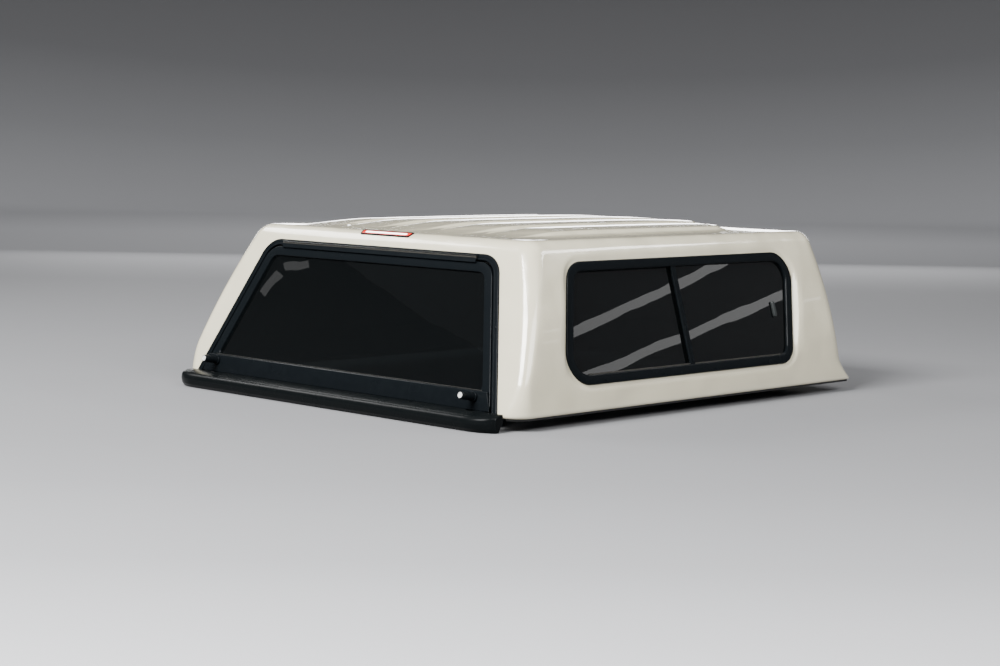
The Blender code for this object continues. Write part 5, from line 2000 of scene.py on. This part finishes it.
@dataclass
class SideWindow(BondedWindow):
    """A sliding side window: frame, inner ring, mullion and latch."""

    side: Side = Side.RIGHT
    band: float = 0.030
    ring_outset: float = 0.001
    ring_thickness: float = 0.004
    pane_front: float = -0.003
    mullion_x: float = -0.012
    mullion_width: float = 0.022
    mullion_out: float = 0.003
    mullion_groove: float = 0.0014
    mullion_groove_depth: float = 0.0015
    mullion_step: float = 0.0006
    latch_x: float = 0.4582
    latch_up: float = 0.25375
    latch_length: float = 0.052
    latch_width: float = 0.014
    latch_depth: float = 0.008
    latch_edge: float = 0.0022
    drain_places: tuple[float, ...] = (-0.44, -0.17, 0.085, 0.335)
    drain_length: float = 0.016
    drain_height: float = 0.0030
    drain_depth: float = 0.0020
    drain_inset: float = 0.0085
    drain_reach: float = 0.01

    def add(
        self, name: str, bm: bmesh.types.BMesh, node: str, finish: Finish | None = None
    ) -> bpy.types.Object:
        """Add a piece of this window.

        Args:
            name: The piece's name without its side.
            bm: Its construction, drawn for the right side.
            node: The name of the CAD node without its side.
            finish: Its finish, where that isn't the slot's own.

        Returns:
            The piece.
        """
        start, place = f"{self.side.word}_window", self.plan.place(self.side)
        dress = Slot.FRAME, Body.CANOPY, [f"{start}_{node}"], finish
        return self.shop.add(f"{start}_{name}", mirrored(bm, self.side), place, *dress)

    def build(self) -> None:
        """Build the window's pieces."""
        carve(self.add("outer_frame", self.frame(self.band), "frame"), self.drain_tools(), CREASE)
        near = -self.layout.shell_wall - 2.0 * self.layout.touch
        far, outset = near - self.ring_thickness, self.ring_outset
        rows = [(outset, near, 0.0003), (self.lap, near, 0.0003)]
        rows += [(self.lap, far, 0.0015), (outset, far, 0.0020)]
        self.add("clamp_ring", sweep(rounded(rows, 4), self.plan.outline.at), "inner_ring")
        self.add("centre_bar", self.mullion(), "mullion")
        self.add("pull", self.pull(), "latch", PULL_PLASTIC)

    def drain_tools(self) -> list[bpy.types.Object]:
        """Make the tools that cut the drain slots in the frame's lower band.

        Returns:
            The tools.
        """
        low = self.plan.corners[0][1] + self.drain_inset
        half, up = self.drain_length / 2.0, self.drain_height / 2.0
        tools = []
        for number, x in enumerate(self.drain_places):
            outline = round_polygon(box(x, low, half, up), [up * NEARLY_ROUND] * 4, 4)
            bm = prism(outline, self.proud + self.drain_reach, self.proud - self.drain_depth)
            place = self.plan.place(self.side)
            tools.append(cutter(f"drain_{number}", mirrored(bm, self.side), place))
        return tools

    def mullion(self) -> bmesh.types.BMesh:
        """Make the upright bar at the edge of the sliding pane, with a groove down its face.

        Returns:
            The mesh.
        """
        inner = inset_polygon(self.plan.corners, self.band + self.layout.touch)
        half, groove = self.mullion_width / 2.0, self.mullion_groove / 2.0
        split, front = self.mullion_x, self.mullion_out
        back, floor = self.pane_front + self.layout.touch, front - self.mullion_groove_depth
        step = front - self.mullion_step
        rows = [
            (split - half, back, 0.0),
            (split - half, front, 0.0014),
            (split - groove, front, 0.0005),
            (split - groove, floor, 0.0),
            (split + groove, floor, 0.0),
            (split + groove, step, 0.0005),
            (split + half, step, 0.0014),
            (split + half, back, 0.0),
        ]
        ends = (inner[0].y, inner[2].y)
        return loft([[(x, -out, z) for x, out in rounded(rows, 4)] for z in ends])

    def pull(self) -> bmesh.types.BMesh:
        """Make the pull on the sliding pane.

        Returns:
            The mesh.
        """
        half, up = self.latch_width / 2.0, self.latch_length / 2.0
        z = (self.latch_up - self.plan.middle[1]) / math.cos(self.plan.tilt)
        corners = box(self.latch_x, z, half, up)
        plan = Outline(corners, [half * NEARLY_ROUND] * 4, least=LEAST_ROUND, steps=8)
        back = self.pane_front + self.layout.touch
        return slab(plan.at, back + self.latch_depth, back, self.latch_edge)


@dataclass
class CabWindow(BondedWindow):
    """The frame of the fixed window to the cab."""

    def build(self) -> None:
        """Build the frame."""
        dress = self.plan.place, Slot.FRAME, Body.CANOPY, ["cab_window_frame"]
        self.shop.add("cab_window_surround", self.frame(self.plan.band), *dress)


@dataclass
class BrakeLight(SubAssembly):
    """The high brake light: lens and lit core; the housing stays as it is."""

    plan: LightPlan
    depth: float = 0.016
    rim: float = 0.004
    floor: float = 0.003
    proud: float = 0.003
    lens_edge: float = 0.0014
    core_end: float = 0.026
    core_slant: float = 0.004
    core_height: float = 0.0078
    core_proud: float = 0.0006
    core_round: float = 0.8

    def build(self) -> None:
        """Build the lens and its lit core."""
        rim = self.rim + self.layout.touch
        front = self.proud - self.layout.slide
        back = -self.depth + self.floor + self.layout.touch
        place = self.plan.place
        lens = slab(lambda inset: self.plan.outline.at(rim + inset), front, back, self.lens_edge)
        self.shop.add("brake_lens_cover", lens, place, Slot.LENS, Body.CANOPY, ["brake_light_lens"])
        half, up = self.plan.length / 2.0 - self.core_end, self.core_height / 2.0
        wide = half + self.core_slant
        corners = [(-half, -up), (half, -up), (wide, up), (-wide, up)]
        core = Outline(corners, [up * self.core_round] * 4, least=LEAST_ROUND, steps=8)
        strip = slab(core.at, front + self.core_proud, front, FINE_EDGE)
        self.shop.add("brake_lamp_strip", strip, place, Slot.LENS, Body.CANOPY, finish=LAMP_CORE)


# Studio


@dataclass(frozen=True)
class SoftLight:
    """A soft rectangular light, with its long side along a direction."""

    name: str
    place: Spot
    aim: Spot
    size: Point
    power: float
    along: Spot | None = None

    def build(self) -> None:
        """Add the light to the scene."""
        data = bpy.data.lights.new(self.name, "AREA")
        data.shape = "RECTANGLE"
        data.size, data.size_y = self.size
        data.energy = self.power
        back = (Vector(self.place) - Vector(self.aim)).normalized()
        side = Vector(self.along) if self.along else Vector((0.0, 0.0, 1.0)).cross(back)
        side = (side - side.dot(back) * back).normalized()
        turn = Matrix((side, back.cross(side), back)).transposed()
        light = place_object(self.name, data, Matrix.Translation(self.place) @ turn.to_4x4())
        light.visible_camera = False


@dataclass
class Studio:
    """Pale floor that curves up into a backdrop, soft lights and the camera."""

    shop: Workshop
    camera_place: Spot = (4.8027, -4.9836, 0.8560)
    camera_yaw: float = 44.3122
    camera_pitch: float = -5.5546
    camera_roll: float = 1.0
    focal_px: float = 2058.95
    frame_width_px: float = 1000.0
    sensor_mm: float = 36.0
    floor_middle: float = 0.02
    floor_radius: float = 14.0
    cove_radius: float = 4.0
    cove_steps: int = 12
    ring_steps: int = 96
    wall_height: float = 8.0
    room_colour: Colour = (0.40, 0.41, 0.43)
    room_strength: float = 0.30
    lights: tuple[SoftLight, ...] = (
        SoftLight("rear_key", (0.6, -5.8, 4.8), (0.0, -0.6, 0.3), (3.6, 2.2), 1400.0),
        SoftLight("side_key", (5.6, -1.4, 4.0), (0.4, 0.0, 0.3), (4.0, 2.2), 300.0),
        SoftLight("left_key", (-4.7, -1.5, 4.2), (0.0, -0.5, 0.3), (3.0, 1.4), 170.0),
        SoftLight("front_key", (3.2, 4.4, 4.3), (0.5, 0.2, 0.3), (2.6, 0.8), 90.0),
        SoftLight("roof_band", (-4.9, 5.2, 1.02), (0.0, 0.2, 0.5), (7.0, 0.42), 75.0),
        SoftLight("backdrop_wash", (-5.0, 5.2, 7.6), (-11.5, 11.8, 0.8), (9.0, 2.5), 300.0),
        SoftLight("upper_bar", (3.85, 4.0, 1.965), (0.8, 0.2, 0.3), (1.5, 0.055), 0.5, (1.15, 0.0, 0.23)),
        SoftLight("lower_bar", (3.65, 4.0, 1.63), (0.8, 0.2, 0.3), (1.8, 0.055), 0.6, (1.42, 0.0, 0.30)),
        SoftLight(
            "door_glint_low", (-6.92, -5.0, 3.443), (0.0, -0.7, 0.3), (0.20, 0.060), 0.030,
            (0.05, 0.0, 0.22),
        ),
        SoftLight(
            "door_glint_high", (-6.78, -5.0, 3.64), (0.0, -0.7, 0.3), (0.18, 0.055), 0.025,
            (1.0, 0.0, 0.25),
        ),
    )

    def build(self) -> None:
        """Build the stage, the lights and the camera."""
        self.add_camera()
        self.add_stage()
        self.add_room()
        for light in self.lights:
            light.build()

    def add_camera(self) -> None:
        """Add the camera and make it the scene's own."""
        data = bpy.data.cameras.new("camera")
        data.sensor_width = self.sensor_mm
        data.lens = self.sensor_mm * self.focal_px / self.frame_width_px
        place = Matrix.Translation(self.camera_place)
        for angle, axis in (
            (self.camera_yaw, "Z"),
            (90.0 + self.camera_pitch, "X"),
            (self.camera_roll, "Z"),
        ):
            place = place @ Matrix.Rotation(math.radians(angle), 4, axis)
        bpy.context.scene.camera = place_object("camera", data, place)

    def add_stage(self) -> None:
        """Add the floor with the backdrop that rises from it all round."""
        profile = [(self.floor_middle, 0.0)]
        for turn in quarter(self.cove_steps):
            radius = self.floor_radius + self.cove_radius * math.sin(turn)
            profile.append((radius, self.cove_radius * (1.0 - math.cos(turn))))
        profile.append((profile[-1][0], self.wall_height))
        bm = bmesh.new()
        rings = [[(x, y, up) for x, y in circle(radius, self.ring_steps)] for radius, up in profile]
        rows = [[bm.verts.new(point) for point in ring] for ring in rings]
        bridge(bm, rows)
        bm.faces.new(rows[0])
        data = finish_mesh("studio_stage", bm)
        # Its finish paints light and shade on the floor and backdrop by distance along the view.
        data.materials.append(self.shop.paint(STUDIO_FLOOR))
        stage = place_object("studio_stage", data, Matrix())

    def add_room(self) -> None:
        """Add the even light of the room."""
        world = bpy.data.worlds.new("room")
        world.use_nodes = True
        background = world.node_tree.nodes["Background"]
        background.inputs["Color"].default_value = (*self.room_colour, 1.0)
        background.inputs["Strength"].default_value = self.room_strength
        bpy.context.scene.world = world


def main() -> None:
    """Build the canopy's looks and the studio round it."""
    logging.basicConfig(level=logging.INFO, format="%(name)s %(message)s")
    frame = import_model()
    shop = Workshop(frame)
    layout = Layout()
    window = WindowPlan(layout)
    door = DoorPlan(layout)
    cab = CabPlan(layout)
    light = LightPlan(layout)
    leaf = RearDoor(shop, layout, door)
    Studio(shop).build()
    ShellSkin(shop, layout, window, door, cab, light).build()
    DoorSurround(shop, layout, door).build()
    leaf.build()
    DoorHinge(shop, layout, door).build()
    RearLip(shop, layout).build()
    for side in Side:
        BarrelLock(shop, layout, door, leaf, side).build()
        SideWindow(shop, layout, window, side=side).build()
    CabWindow(shop, layout, cab).build()
    BrakeLight(shop, layout, light).build()
    shop.dress_frame()


if __name__ == "__main__":
    main()
